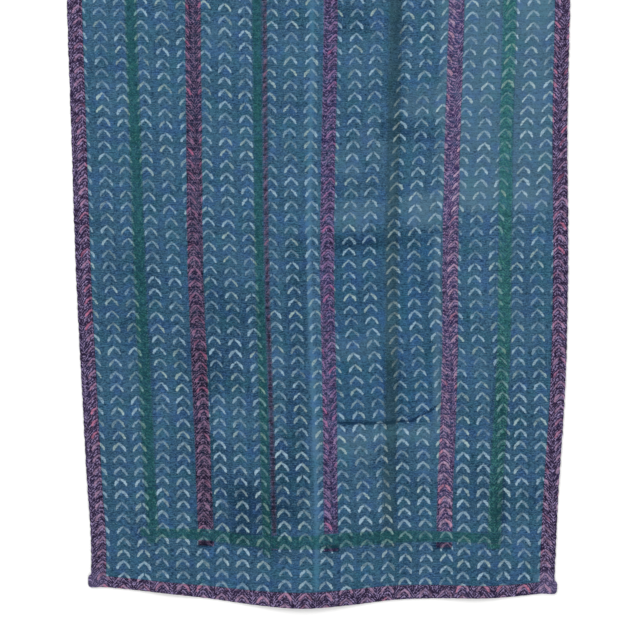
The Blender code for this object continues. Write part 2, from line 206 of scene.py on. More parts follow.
@dataclass
class Lay:
    """How the throw lies: its outline, swells, stitched rows and sewn-on pieces."""

    width: float = 1.270
    length: float = 1.780
    cloth: float = 0.0034
    strip: float = 0.0010
    gap: float = 0.0004
    edge_gap: float = 0.0008
    rows: int = 72
    dip: float = 0.0013
    dip_spread: float = 0.2
    dip_turn: float = 2.1
    small_dip: float = 0.0005
    wander: float = 0.003
    wanders_across: float = 1.3
    wander_turn: float = 0.17
    binding: float = 0.038
    seam_half: float = 0.006
    seam_rise: float = 0.0016
    hem_fade: float = 0.20
    sharp: float = 0.0015
    cross_width: float = 0.032
    cross_past: float = 0.018
    patch_low: float = 0.466
    patch_high: float = 0.949
    patch_inset: float = 0.002
    edging_width: float = 0.014
    edging_end: float = 0.146
    edging_gap: float = 0.0004
    edging_apart: float = 1.03
    edge_stray: float = 0.0009
    edge_turn: float = 0.045
    edge_lines: float = 99.0
    side_slope: float = 0.05
    end_slope: tuple[float, float] = (0.002, 0.012)
    stray_free: float = 0.03
    tight_spread: float = 0.25
    tight_turns: float = 26.0
    dip_power: float = 1.4
    small_power: int = 3
    crease_bend: float = 0.004
    crease_turn: float = 0.06
    crease_fade: tuple[float, float] = (-0.02, 0.03)
    pucker_free: float = 0.02
    pucker_sizes: tuple[Pucker, ...] = (
        Pucker(0.00030, 0.013, 0.022, Field.FINE_PUCKER),
        Pucker(0.00022, 0.007, 0.012, Field.FINER_PUCKER),
        Pucker(0.00070, 0.055, 0.040, Field.BROAD_PUCKER),
    )
    line_heights: tuple[float, float, float] = (0.22, 0.78, 1.51)
    left_in: Curve = Curve(
        (0.0, 0.15, 0.31, 0.55, 0.85, 1.23, 1.54, 1.78),
        (0.0606, 0.0606, 0.0505, 0.0379, 0.0227, 0.0101, 0.0, 0.0),
    )
    right_in: Curve = Curve(
        (0.0, 0.15, 0.31, 0.55, 0.85, 1.23, 1.54, 1.78),
        (0.0404, 0.0354, 0.0278, 0.0126, 0.0050, 0.0065, 0.0, 0.0),
    )
    hem: Curve = Curve(
        (0.0, 0.12, 0.25, 0.36, 0.46, 0.56, 0.66, 0.77, 0.88, 1.0),
        (0.0568, 0.0429, 0.0253, 0.0080, 0.0, 0.0080, 0.0215, 0.0253, 0.0262, 0.0405),
    )
    cross: Curve = Curve(
        (0.13, 0.25, 0.36, 0.46, 0.58, 0.72, 0.87),
        (0.174, 0.175, 0.166, 0.167, 0.170, 0.170, 0.165),
    )
    folds: tuple[Fold, ...] = (
        Fold(0.17, 0.105, (0.0060, 0.0035, 0.0050, 0.0030)),
        Fold(0.45, 0.215, (0.0120, 0.0065, 0.0030, 0.0045)),
        Fold(0.82, 0.115, (0.0080, 0.0050, 0.0025, 0.0040)),
    )
    creases: tuple[Crease, ...] = (
        Crease((0.030, 0.038), (0.300, 0.046), -0.0022, 0.007),
        Crease((0.030, 0.066), (0.300, 0.076), 0.0022, 0.018),
        Crease((0.155, 0.290), (0.310, 0.345), -0.0016, 0.009),
        Crease((0.165, 0.265), (0.315, 0.315), 0.0012, 0.016),
        Crease((0.190, -0.424), (0.304, -0.380), -0.0018, 0.007),
        Crease((0.200, -0.400), (0.300, -0.360), 0.0014, 0.014),
        Crease((0.310, 0.112), (0.630, 0.118), -0.0012, 0.010),
        Crease((-0.600, 0.058), (-0.170, 0.054), -0.0010, 0.009),
        Crease((-0.590, -0.186), (-0.190, -0.192), -0.0009, 0.009),
        Crease((-0.420, 0.420), (-0.120, 0.395), 0.0011, 0.020),
        Crease((-0.500, -0.520), (-0.220, -0.500), 0.0012, 0.024),
        Crease((0.330, -0.600), (0.540, -0.580), 0.0012, 0.022),
        Crease((-0.140, -0.760), (0.010, -0.880), -0.0016, 0.012),
    )
    seam: Line = Line("seam", 0.486, 0.474, 0.4875, 0.012, 0.0)
    strips: tuple[Line, ...] = (
        Line("green_strip_1", 0.134, 0.130, 0.127, 0.032, 0.141),
        Line("red_strip_1", 0.248, 0.243, 0.250, 0.040, 0.142),
        Line("green_strip_2", 0.379, 0.373, 0.377, 0.024, 0.128),
        Line("red_strip_2", 0.516, 0.510, 0.524, 0.036, 0.145),
        Line("green_strip_3", 0.640, 0.640, 0.653, 0.034, 0.145),
        Line("red_strip_3", 0.759, 0.760, 0.774, 0.040, 0.142),
        Line("green_strip_4", 0.866, 0.871, 0.880, 0.036, 0.136),
    )

    @property
    def half_row(self) -> float:
        """Distance from a row of stitches to the crest between it and the next."""
        return self.length / self.rows / 2

    @property
    def lift(self) -> float:
        """How far the binding's lower leaf lifts the layers."""
        return self.strip + self.gap

    def line(self, name: str) -> Line:
        """The lengthwise strip of a name."""
        return next(one for one in self.strips if one.name == name)

    def width_at(self, up: float | Array) -> Array:
        """Width of the cloth at a height."""
        return self.width - self.left_in(up) - self.right_in(up)

    def strayed(self, share: Array, row: Array) -> Array:
        """Where a hand-stitched row really runs.

        Args:
            share: share of the width.
            row: the height where the row belongs.

        Returns:
            Its height there, a little up or down.
        """
        ends = ease(0, self.stray_free, row) * ease(0, self.stray_free, self.length - row)
        turn = self.wanders_across * share + self.wander_turn * row / self.half_row
        return row + ends * self.wander * np.sin(math.tau * turn)

    def plan(self, share: Array, up: Array) -> tuple[Array, Array]:
        """The floor plan of a place on the cloth.

        Args:
            share: share of the width.
            up: height up the cloth.

        Returns:
            Its x and y.
        """
        x = -self.width / 2 + self.left_in(up) + share * self.width_at(up)
        return x, up - self.length / 2 + self.hem(share) * np.exp(-up / self.hem_fade)

    def swell(self, share: Array, up: Array) -> Array:
        """How far the folds lift the cloth off the floor."""
        thirds = 3
        along = np.clip(thirds * up / self.length, 0.0, thirds)
        total = np.zeros(np.broadcast(share, up).shape)
        for fold in self.folds:
            height = np.interp(along, range(thirds + 1), fold.heights)
            across = np.clip(np.abs(share - fold.centre) * self.width / fold.half_width, 0, 1)
            total = total + height * np.cos(across * math.pi / 2) ** 2
        return total

    def lifted(self, share: Array, up: Array) -> Array:
        """How far the binding's lower leaf lifts the layers at a place."""
        side = np.minimum(share, 1 - share) * self.width_at(up)
        end = np.minimum(up, self.length - up)
        start, stop = (self.binding + past for past in self.end_slope)
        at_side = 1 - ease(self.binding, self.binding + self.side_slope, side)
        at_end = 1 - ease(start, stop, end)
        return self.lift * np.maximum(at_side, at_end)

    def ribs(self, share: Array, row: Array) -> Array:
        """How far the rows of stitches draw the face down."""
        turn = row / (2 * self.half_row)
        from_row = np.abs(turn - np.round(turn))
        from_crest = 0.5 - from_row
        uneven = 1 + self.dip_spread * np.sin(2 * self.dip_turn * np.round(turn))
        pull = cloud(share * self.tight_turns, np.round(turn), Field.TIGHT_ROW)
        tight = 1 + self.tight_spread * pull
        large = self.dip * uneven * tight * (1 - np.sin(math.pi * from_row)) ** self.dip_power
        small = self.small_dip * tight * (1 - np.sin(math.pi * from_crest)) ** self.small_power
        return large + small

    def creased(self, x: Array, y: Array) -> Array:
        """The troughs and ridges of the main creases on the floor's plan."""
        total = np.zeros(x.shape)
        for crease in self.creases:
            x0, y0 = crease.start
            dx, dy = crease.end[0] - x0, crease.end[1] - y0
            run = math.hypot(dx, dy)
            along = ((x - x0) * dx + (y - y0) * dy) / run
            bend = self.crease_bend * cloud(along / self.crease_turn, along * 0, Field.CREASE)
            across = ((y - y0) * dx - (x - x0) * dy) / run + bend
            fade = ease(*self.crease_fade, along) * ease(*self.crease_fade, run - along)
            total += crease.rise * fade * np.exp(-((across / crease.half_width) ** 2))
        return total

    def puckers(self, x: Array, y: Array) -> Array:
        """The small uneven puckers between the rows."""
        return sum(p.height * cloud(x / p.across, y / p.along, p.field_) for p in self.pucker_sizes)

    def middle(self, line: Line, up: Array) -> Array:
        """Share of the width where a line's middle runs at a height."""
        low_at, middle_at, high_at = self.line_heights
        where = np.clip(up, low_at, high_at)
        lower, upper = ease(low_at, middle_at, where), ease(middle_at, high_at, where)
        return line.low + (line.middle - line.low) * lower + (line.high - line.middle) * upper

    def seam_ridge(self, share: Array, up: Array) -> Array:
        """How proud the seam down the middle stands."""
        off = (share - self.middle(self.seam, up)) * self.width_at(up)
        free = ease(self.binding, self.binding + self.half_row, np.minimum(up, self.length - up))
        return self.seam_rise * free * np.exp(-((off / self.seam_half) ** 2))

    def face(self, share: Array, row: Array) -> Array:
        """Height of the quilted face.

        Args:
            share: share of the width.
            row: height among the stitched rows, before they stray.

        Returns:
            The height of the face over the floor.
        """
        share, row = np.broadcast_arrays(share, row)
        up = self.strayed(share, row)
        x, y = self.plan(share, up)
        inner = ease(0.0, self.pucker_free, np.minimum(row, self.length - row))
        relief = self.creased(x, y) + self.puckers(x, y) * inner - self.ribs(share, row)
        base = self.swell(share, up) + self.lifted(share, up) + self.cloth
        return base + relief + self.seam_ridge(share, up)

    def under(self, share: Array, row: Array) -> Array:
        """Height of the back, which lies on the floor but for the folds and the binding."""
        share, row = np.broadcast_arrays(share, row)
        up = self.strayed(share, row)
        return self.swell(share, up) + self.lifted(share, up)

    def edges(self, line: Line, up: Array) -> tuple[Array, Array]:
        """The shares of the width between which a strip runs at a height."""
        width = self.width_at(up)
        middle, half = self.middle(line, up), line.width / 2 / width
        lane = up * 0 + line.width * self.edge_lines
        stray = self.edge_stray / width * cloud(up / self.edge_turn, lane, Field.STRIP_EDGE)
        return middle - half + stray, middle + half + stray

    @cached_property
    def long_strips(self) -> dict[str, Line]:
        """The lengthwise strips and the narrow edging, by name."""
        found = {one.name: one for one in self.strips}
        beside = self.line("green_strip_2")
        shift = (beside.width + self.edging_width) / 2 / self.width * self.edging_apart
        found["red_edging"] = Line(
            "red_edging",
            beside.low + shift,
            beside.middle + shift,
            beside.high + shift,
            self.edging_width - self.edging_gap,
            self.edging_end,
        )
        return found

    def patch_edges(self, up: Array) -> tuple[Array, Array]:
        """The shares of the width between which the patch lies at a height."""
        inset = self.patch_inset / self.width_at(up)
        left = self.edges(self.line("red_strip_2"), up)[1] + inset
        return left, self.edges(self.line("red_strip_3"), up)[0] - inset

    def cross_span(self, share: Array, from_top: bool) -> tuple[Array, Array]:
        """The heights between which a crossing strip runs at a share of the width."""
        centre = self.cross(share)
        centre = self.length - centre if from_top else centre
        return centre - self.cross_width / 2, centre + self.cross_width / 2

    def cross_shares(self) -> tuple[float, float]:
        """The shares of the width between which the crossing strips run."""
        up = float(self.cross(self.cross.at[0]))
        first = self.edges(self.line("green_strip_1"), up)[0]
        last = self.edges(self.line("green_strip_4"), up)[1]
        return float(first - self.cross_past / self.width_at(up)), float(last)

    def within(self, value: Array, low: Array, high: Array) -> Array:
        """1 between low and high, with a short ramp outside them; all in metres."""
        return ease(low - self.sharp, low, value) * ease(-high - self.sharp, -high, -value)

    def cover(self, share: Array, row: Array, level: Level) -> Array:
        """How far the sewn-on pieces up to a level raise the face at a place."""
        share, row = np.broadcast_arrays(share, row)
        up = self.strayed(share, row)
        width = self.width_at(up)
        across = share * width
        total = np.zeros(share.shape)
        if level.value >= Level.PATCH.value:
            left, right = self.patch_edges(up)
            long = self.within(up, self.patch_low, self.patch_high)
            total += self.within(across, left * width, right * width) * long
        if level.value >= Level.STRIP.value:
            on = np.zeros(share.shape)
            for strip in self.long_strips.values():
                left, right = self.edges(strip, up)
                long = self.within(up, strip.end, self.length - strip.end)
                on = np.maximum(on, self.within(across, left * width, right * width) * long)
            total += on
        if level.value >= Level.CROSS.value:
            first, last = self.cross_shares()
            sides = self.within(across, first * width, last * width)
            for from_top in (False, True):
                low, high = self.cross_span(share, from_top)
                total += self.within(up, low, high) * sides
        return total * self.strip


@dataclass(frozen=True)
class Tone:
    """A soft-edged patch of the floor's plan that is paler or darker: mostly where the dye took more or
    less, and in a few thin lines painted shade along creases and the patch's edges.
    """

    low: tuple[float, float]
    high: tuple[float, float]
    soft: float
    amount: float
    slope: float = 0.0


@dataclass(frozen=True)
class PrintRun:
    """One lengthwise run of stamps of the printing block, at five heights from the lower end up.

    first is the share of the width at the middle of the block's first column, drop is how many rows
    lower than even the block's middle was set, and turn is how many rows each next column drops.
    """

    first: tuple[float, float, float, float, float]
    drop: tuple[float, float, float, float, float]
    turn: tuple[float, float, float, float, float]


@dataclass
class BlockPrint:
    """Where the chevrons of the three-column printing block lie, where the dye is pale or dark, and where
    shade is painted along creases and the patch's edges.
    """

    lay: Lay
    heights: tuple[float, float, float, float, float] = (0.12, 0.45, 0.85, 1.20, 1.50)
    runs: tuple[PrintRun, ...] = (
        PrintRun(
            (0.026, 0.029, 0.027, 0.025, 0.024),
            (0.08, 0.08, -0.13, -0.17, -0.17),
            (0.04, 0.04, 0.08, 0.17, 0.13),
        ),
        PrintRun(
            (0.153, 0.165, 0.157, 0.149, 0.148),
            (0.00, 0.00, 0.25, 0.17, 0.17),
            (0.08, 0.17, 0.17, 0.17, 0.21),
        ),
        PrintRun(
            (0.282, 0.283, 0.273, 0.270, 0.273),
            (0.00, 0.08, 0.34, 0.50, 0.46),
            (0.13, 0.13, 0.17, 0.13, 0.20),
        ),
        PrintRun(
            (0.418, 0.411, 0.399, 0.400, 0.407),
            (-0.25, -0.17, -0.13, -0.17, 0.0),
            (0.04, 0.13, -0.03, 0.0, 0.0),
        ),
        PrintRun(
            (0.550, 0.532, 0.513, 0.527, 0.537),
            (0.25, 0.38, 0.63, 0.84, 0.93),
            (-0.04, -0.13, -0.08, -0.13, -0.08),
        ),
        PrintRun(
            (0.677, 0.664, 0.644, 0.663, 0.677),
            (0.50, 0.67, 0.97, 1.01, 1.05),
            (-0.02, -0.06, -0.23, -0.21, -0.23),
        ),
        PrintRun(
            (0.802, 0.790, 0.768, 0.792, 0.805),
            (0.00, -0.17, 0.00, -0.04, 0.0),
            (0.0, 0.0, -0.08, -0.13, -0.20),
        ),
        PrintRun(
            (0.933, 0.911, 0.896, 0.916, 0.928),
            (0.13, -0.04, -0.25, -0.29, -0.13),
            (0.0, 0.0, -0.13, -0.21, -0.13),
        ),
    )
    columns_a_block: int = 3
    column: float = 0.0518
    half_mark: float = 0.36
    first_row: float = 0.121
    row_pitch: float = 0.02954
    row_growth: float = 1.39e-5
    apex: float = 0.815
    least_gap: float = 1e-4
    step: float = 0.05
    stain_and_shade_stray: float = 0.5
    stain_and_shade_turn: float = 0.03
    tones: tuple[Tone, ...] = (
        Tone((0.305, 0.115), (0.588, 0.900), 0.020, 0.33),
        Tone((0.040, 0.080), (0.300, 0.150), 0.030, 0.22),
        Tone((-0.325, -0.365), (-0.150, -0.040), 0.060, -0.34),
        Tone((-0.225, -0.730), (-0.100, -0.570), 0.040, -0.45),
        Tone((0.430, -0.745), (0.462, -0.610), 0.015, -0.40),
        # Painted shade in the crease trough just below the patch's upper edge.
        Tone((0.030, 0.020), (0.290, 0.044), 0.010, -0.45),
        Tone((-0.620, -0.300), (-0.330, 0.100), 0.080, -0.16),
        Tone((0.300, -0.640), (0.620, -0.300), 0.080, -0.06),
        # Painted shade in the trough of the crease that runs up to the right above the patch.
        Tone((0.150, 0.290), (0.310, 0.345), 0.012, -0.35),
        # Painted shadow under the patch's lower edge, rising where its right corner curls up.
        Tone((0.046, -0.4265), (0.168, -0.4205), 0.0025, -1.20),
        Tone((0.168, -0.4255), (0.236, -0.4195), 0.0025, -1.20, 0.09),
        Tone((0.236, -0.4195), (0.302, -0.4135), 0.0025, -1.20, 0.56),
        # A thin line of painted shade along the patch's upper edge near its right end.
        Tone((0.225, 0.0600), (0.306, 0.0660), 0.003, -0.70, -0.05),
        Tone((0.291, -0.742), (0.337, -0.724), 0.003, -1.10),
        Tone((-0.306, -0.736), (-0.268, -0.718), 0.003, -0.90),
        Tone((0.016, -0.748), (0.050, -0.730), 0.003, -1.30),
        Tone((-0.304, -0.668), (-0.269, -0.240), 0.012, -0.30),
        Tone((-0.443, -0.668), (-0.413, -0.240), 0.012, -0.20),
        Tone((0.440, -0.668), (0.472, -0.240), 0.012, -0.50),
        Tone((0.195, 0.140), (0.216, 0.890), 0.006, -0.30),
        Tone((0.193, -0.260), (0.204, 0.140), 0.006, -0.26),
        Tone((0.164, -0.420), (0.212, -0.260), 0.006, -0.30),
        Tone((0.191, -0.668), (0.201, -0.420), 0.006, -0.28),
        Tone((0.290, -0.428), (0.312, 0.060), 0.006, 0.40),
        Tone((-0.085, -0.466), (-0.020, 0.055), 0.012, -0.32),
        Tone((-0.125, -0.690), (-0.032, -0.466), 0.020, -0.36),
        Tone((-0.358, -0.430), (-0.318, -0.190), 0.012, -0.25),
        Tone((-0.300, -0.706), (-0.180, -0.466), 0.030, -0.22),
        Tone((-0.028, -0.520), (0.140, -0.436), 0.016, 0.30),
        Tone((0.140, -0.470), (0.306, -0.432), 0.014, 0.32),
        Tone((0.355, 0.127), (0.536, 0.184), 0.018, 0.26),
        Tone((0.230, 0.070), (0.360, 0.145), 0.020, 0.26),
        Tone((0.015, 0.200), (0.105, 0.266), 0.020, 0.20),
        Tone((0.105, 0.240), (0.205, 0.318), 0.020, 0.22),
        Tone((0.205, 0.318), (0.318, 0.430), 0.020, 0.22),
        Tone((-0.028, 0.064), (0.130, 0.108), 0.016, 0.16),
        Tone((0.028, 0.138), (0.170, 0.196), 0.012, -0.25),
        Tone((0.000, 0.000), (0.125, 0.050), 0.012, -0.22),
        Tone((0.040, 0.562), (0.130, 0.622), 0.020, -0.35),
        Tone((0.495, 0.568), (0.588, 0.900), 0.030, 0.35),
        Tone((0.028, -0.270), (0.145, -0.206), 0.018, 0.25),
        Tone((-0.600, -0.960), (0.600, -0.480), 0.120, -0.11),
        Tone((-0.590, -0.870), (-0.535, -0.800), 0.012, 0.45),
        Tone((0.550, -0.870), (0.610, -0.800), 0.012, 0.45),
    )

    def cells(self, share: Array, row: Array, y: Array) -> tuple[Array, Array]:
        """The print's own coordinates: one unit a column across and one a row up.

        Args:
            share: share of the width.
            row: height among the stitched rows.
            y: place along the floor's plan.

        Returns:
            The column and the row of each place. A chevron's middle is half way along its column, and
            its apex at the share apex of its row.
        """
        pitch = self.column / self.lay.width_at(row)
        height = y + self.lay.length / 2 - self.first_row
        root = np.sqrt(np.maximum(self.row_pitch**2 + 4 * self.row_growth * height, 0))
        rows = (root - self.row_pitch) / (2 * self.row_growth) + self.apex
        across, drop = np.zeros(share.shape), np.zeros(share.shape)
        middle = (self.columns_a_block - 1) / 2
        ends = []
        for run in self.runs:
            first, fall, turn = (Curve(self.heights, v)(row) for v in (run.first, run.drop, run.turn))
            off = (share - first) / pitch - middle
            inner = np.clip(off, -middle - 0.5, middle + 0.5)
            ends.append((first, fall, turn, inner))
            for k in range(self.columns_a_block):
                centre = first + k * pitch
                reach = self.half_mark * pitch
                across += 2 * self.half_mark * np.clip((share - centre + reach) / (2 * reach), 0, 1)
        gap = 1 - 2 * self.half_mark
        starts = [first + k * pitch for first, _, _, _ in ends for k in range(self.columns_a_block)]
        starts = [starts[0] - pitch, *starts, starts[-1] + pitch]
        for before, after in zip(starts, starts[1:]):
            low = before + self.half_mark * pitch
            high = np.maximum(after - self.half_mark * pitch, low + self.least_gap)
            across += gap * np.clip((share - low) / (high - low), 0, 1)
        block = (across - gap / 2) / self.columns_a_block
        for k, (_, fall, turn, inner) in enumerate(ends):
            # A stamp's own tilt holds inside it, and the step to the next one falls between columns.
            entered = ease(k - self.step, k + self.step, block)
            inside = entered * ease(-k - 1 - self.step, -k - 1 + self.step, -block)
            drop += inside * (fall + turn * inner)
        return across - gap / 2, rows + drop

    def tone(self, x: Array, y: Array) -> Array:
        """How much paler, or darker if below 0, the cloth's colour is at a place of the floor's plan, from
        the dye and from the painted shade lines.
        """
        total = np.zeros(x.shape)
        for tone in self.tones:
            inside = np.ones(x.shape)
            level = y - tone.slope * (x - tone.low[0])
            for value, low, high in ((x, tone.low[0], tone.high[0]), (level, tone.low[1], tone.high[1])):
                edge = cloud(x / self.stain_and_shade_turn, y / self.stain_and_shade_turn, Field.STAIN_AND_SHADE_EDGE)
                stray = tone.soft * self.stain_and_shade_stray * edge
                inside *= ease(low - tone.soft, low + tone.soft, value + stray)
                inside *= ease(-high - tone.soft, -high + tone.soft, -value + stray)
            total += tone.amount * inside
        return total


class MeshDraft:
    """Collects the points and faces of one piece, each point with its place on the cloth."""

    def __init__(self, lay: Lay, block: BlockPrint) -> None:
        """Starts an empty piece."""
        self.lay = lay
        self.block = block
        self.points: list[Array] = []
        self.places: list[Array] = []
        self.faces: list[list[int]] = []
        self.slots: list[int] = []
        self.count = 0

    def add(
        self, share: Array, row: Array, z: Array, shift: Vector | None = None, edge: float | Array = 1.0
    ) -> Array:
        """Adds points of the cloth.

        Args:
            share: share of the width.
            row: height among the stitched rows.
            z: height over the floor.
            shift: an offset on the floor's plan.
            edge: distance from the piece's own nearest edge.

        Returns:
            The points' numbers, in the shape of the arrays.
        """
        share, row, z, edge = np.broadcast_arrays(share, row, z, edge)
        x, y = self.lay.plan(share, self.lay.strayed(share, row))
        if shift is not None:
            x, y = x + shift.x, y + shift.y
        self.points.append(np.stack([x.ravel(), y.ravel(), z.ravel()], axis=1))
        self.places.append(np.stack([share.ravel(), row.ravel(), edge.ravel()], axis=1))
        numbers = np.arange(self.count, self.count + share.size).reshape(share.shape)
        self.count += share.size
        return numbers

    def quads(self, grid: Array, slot: int = 0, around: bool = False) -> None:
        """Covers a grid of points with faces.

        Args:
            grid: the points' numbers, in rows.
            slot: the material slot of the faces.
            around: whether each row closes on itself.
        """
        if around:
            grid = np.concatenate([grid, grid[:, :1]], axis=1)
        a, b = grid[:-1, :-1].ravel(), grid[:-1, 1:].ravel()
        c, d = grid[1:, 1:].ravel(), grid[1:, :-1].ravel()
        self.faces += np.stack([a, b, c, d], axis=1).tolist()
        self.slots += [slot] * len(a)

    def face(self, numbers: Any, slot: int = 0) -> None:
        """Adds one face."""
        self.faces.append([int(n) for n in numbers])
        self.slots.append(slot)

    def slab(self, share: Array, row: Array, under: Array, over: Array, edge: Array) -> None:
        """Adds a closed thin sheet.

        Args:
            share: shares of the width, in rows.
            row: heights among the stitched rows.
            under: heights of its underside.
            over: heights of its upper side.
            edge: distance from its own nearest edge.
        """
        low = self.add(share, row, under, edge=edge)
        high = self.add(share, row, over, edge=edge)
        self.quads(low)
        self.quads(high)
        for side in (0, -1):
            self.quads(np.stack([low[side], high[side]]))
        for side in (0, -1):
            self.quads(np.stack([low[:, side], high[:, side]]))

    def finish(self, name: str, materials: list[bpy.types.Material]) -> bpy.types.Object:
        """Makes the piece, with the maps that its cloth is dyed and printed by, one of which also carries
        the painted shade lines.

        Args:
            name: the piece's name.
            materials: its materials, by slot.

        Returns:
            The new object.
        """
        mesh = bpy.data.meshes.new(name)
        points, places = np.concatenate(self.points), np.concatenate(self.places)
        mesh.from_pydata(points.tolist(), [], self.faces)
        mesh.polygons.foreach_set("material_index", self.slots)
        bm = bmesh.new()
        bm.from_mesh(mesh)
        bmesh.ops.recalc_face_normals(bm, faces=bm.faces)
        bm.to_mesh(mesh)
        bm.free()
        mesh.shade_smooth()
        corners = np.empty(len(mesh.loops), dtype=np.int32)
        mesh.loops.foreach_get("vertex_index", corners)
        share, row, edge = places.T
        column, line = self.block.cells(share, row, points[:, 1])
        tone = self.block.tone(points[:, 0], points[:, 1])
        seam = self.lay.seam_ridge(share, row) / self.lay.seam_rise
        maps = {
            "cloth": (share * self.lay.width, row),
            "print": (column, line),
            "wear": (0.5 + 0.5 * tone, seam),
            "edge": (edge, row),
        }
        for label, pair in maps.items():
            layer = mesh.uv_layers.new(name=label)
            layer.data.foreach_set("uv", np.stack(pair, axis=1)[corners].ravel())
        for material in materials:
            mesh.materials.append(material)
        piece = bpy.data.objects.new(name, mesh)
        bpy.context.scene.collection.objects.link(piece)
        return piece


class Graph:
    """The node tree of one material."""

    def __init__(self, name: str) -> None:
        """Starts a material with nothing but its output."""
        self.material = bpy.data.materials.new(name)
        self.material.use_nodes = True
        self.tree = self.material.node_tree
        self.tree.nodes.clear()

    def add(self, kind: str, inputs: dict | list, out: int | str = 0, **settings: Any) -> Any:
        """Adds a node with its settings and links.

        Args:
            kind: the node's type after the word ShaderNode.
            inputs: what each input gets, a value or another node's output, by its name or number,
                or in order from the first one.
            out: the output to hand back.
            settings: the node's own settings.

        Returns:
            The chosen output, or the node itself where it has none.
        """
        node = self.tree.nodes.new("ShaderNode" + kind)
        for name, value in settings.items():
            setattr(node, name, value)
        for key, value in inputs.items() if isinstance(inputs, dict) else enumerate(inputs):
            if isinstance(value, bpy.types.NodeSocket):
                self.tree.links.new(value, node.inputs[key])
            else:
                node.inputs[key].default_value = value
        return node.outputs[out] if node.outputs else node


@dataclass(frozen=True)
class Dye:
    """The overdye's tones on one cloth: its deepest and palest, and the casts that it drifts to."""

    deep: str
    pale: str
    green_cast: str
    blue_cast: str
    cast: float = 0.5


@dataclass(frozen=True)
class Mark:
    """One cloth's chevrons, printed in two tones, and the fine veins of an older print between them."""

    tone: str
    second: str
    strength: float
    veins: str = "#000000"
    vein_strength: float = 0.0


INDIGO = Dye("#0e2c44", "#456b85", "#205664", "#2e4c85")


@dataclass(frozen=True)
class Grain:
    """A noise: how often it turns over in one unit, how many finer layers it has, and their strength."""

    scale: float
    detail: float = 2.0
    rough: float = 0.5

    def at(self, place: Any) -> dict[str, Any]:
        """What the noise takes to be read at a place."""
        return {"Vector": place, "Scale": self.scale, "Detail": self.detail, "Roughness": self.rough}


@dataclass(frozen=True)
class Stroke:
    """The two strokes of a printed chevron, as the carved block and its paste leave them.

    A stroke is thin at the apex, which is often bare, and swells to a rounded foot. Sizes are in
    millimetres. A spread is how far a size differs from stroke to stroke, and a ramp goes from its
    first place to its second while its value goes from the third number to the fourth.
    """

    run: float = 16.4
    drop: float = 15.6
    arch: float = 1.2
    arch_spread: float = 0.4
    thin: float = 1.2
    swell: float = 2.0
    blob: float = 1.7
    blob_spread: float = 2.4
    spread: float = 0.7
    heavier: float = 0.45
    soft: float = 1.25
    short: float = 1.6
    reach_spread: float = 2.2
    tip: float = 2.0
    bend: float = 3.4
    foot: float = 0.25
    start: float = -3.2
    start_spread: float = 4.6
    head: float = 2.4
    core: Ramp = (0.2, 1.5, 0.62, 1.0)
    ringed: float = 0.55
    force: tuple[float, float] = (0.62, 0.38)
    foot_force: float = 0.26
    faint_turns: tuple[float, float, float] = (0.7, 0.30, 1.0)
    faint: Ramp = (0.34, 0.62, 0.50, 1.15)
    stamp_stray: float = 3.0
    mark_stray: float = 1.6
    ragged: float = 6.4
    ragged_turns: tuple[float, float, float] = (9.0, 5.5, 1.0)
    ragged_rough: float = 0.7


@dataclass(frozen=True)
class Rows:
    """The line that each row of running stitch presses into the cloth, dented into the relief and drawn into
    the colour.

    Its tone, how much of that shows and its half width differ from cloth to cloth. The plain tone is a dark
    line of painted shade in the groove; the red cloths take a lilac line of the thread instead. The beat is
    the length of one stitch with its gap. Sizes are in millimetres.
    """

    # Dark navy: shade painted into the groove that the stitches press.
    tone: str = "#0b1826"
    share: float = 0.14
    half_width: float = 2.2
    spacing: float = 1780 / 144
    beat: float = 8.0
    press: float = 0.8
    press_spread: float = 0.5
    depth: float = 0.9


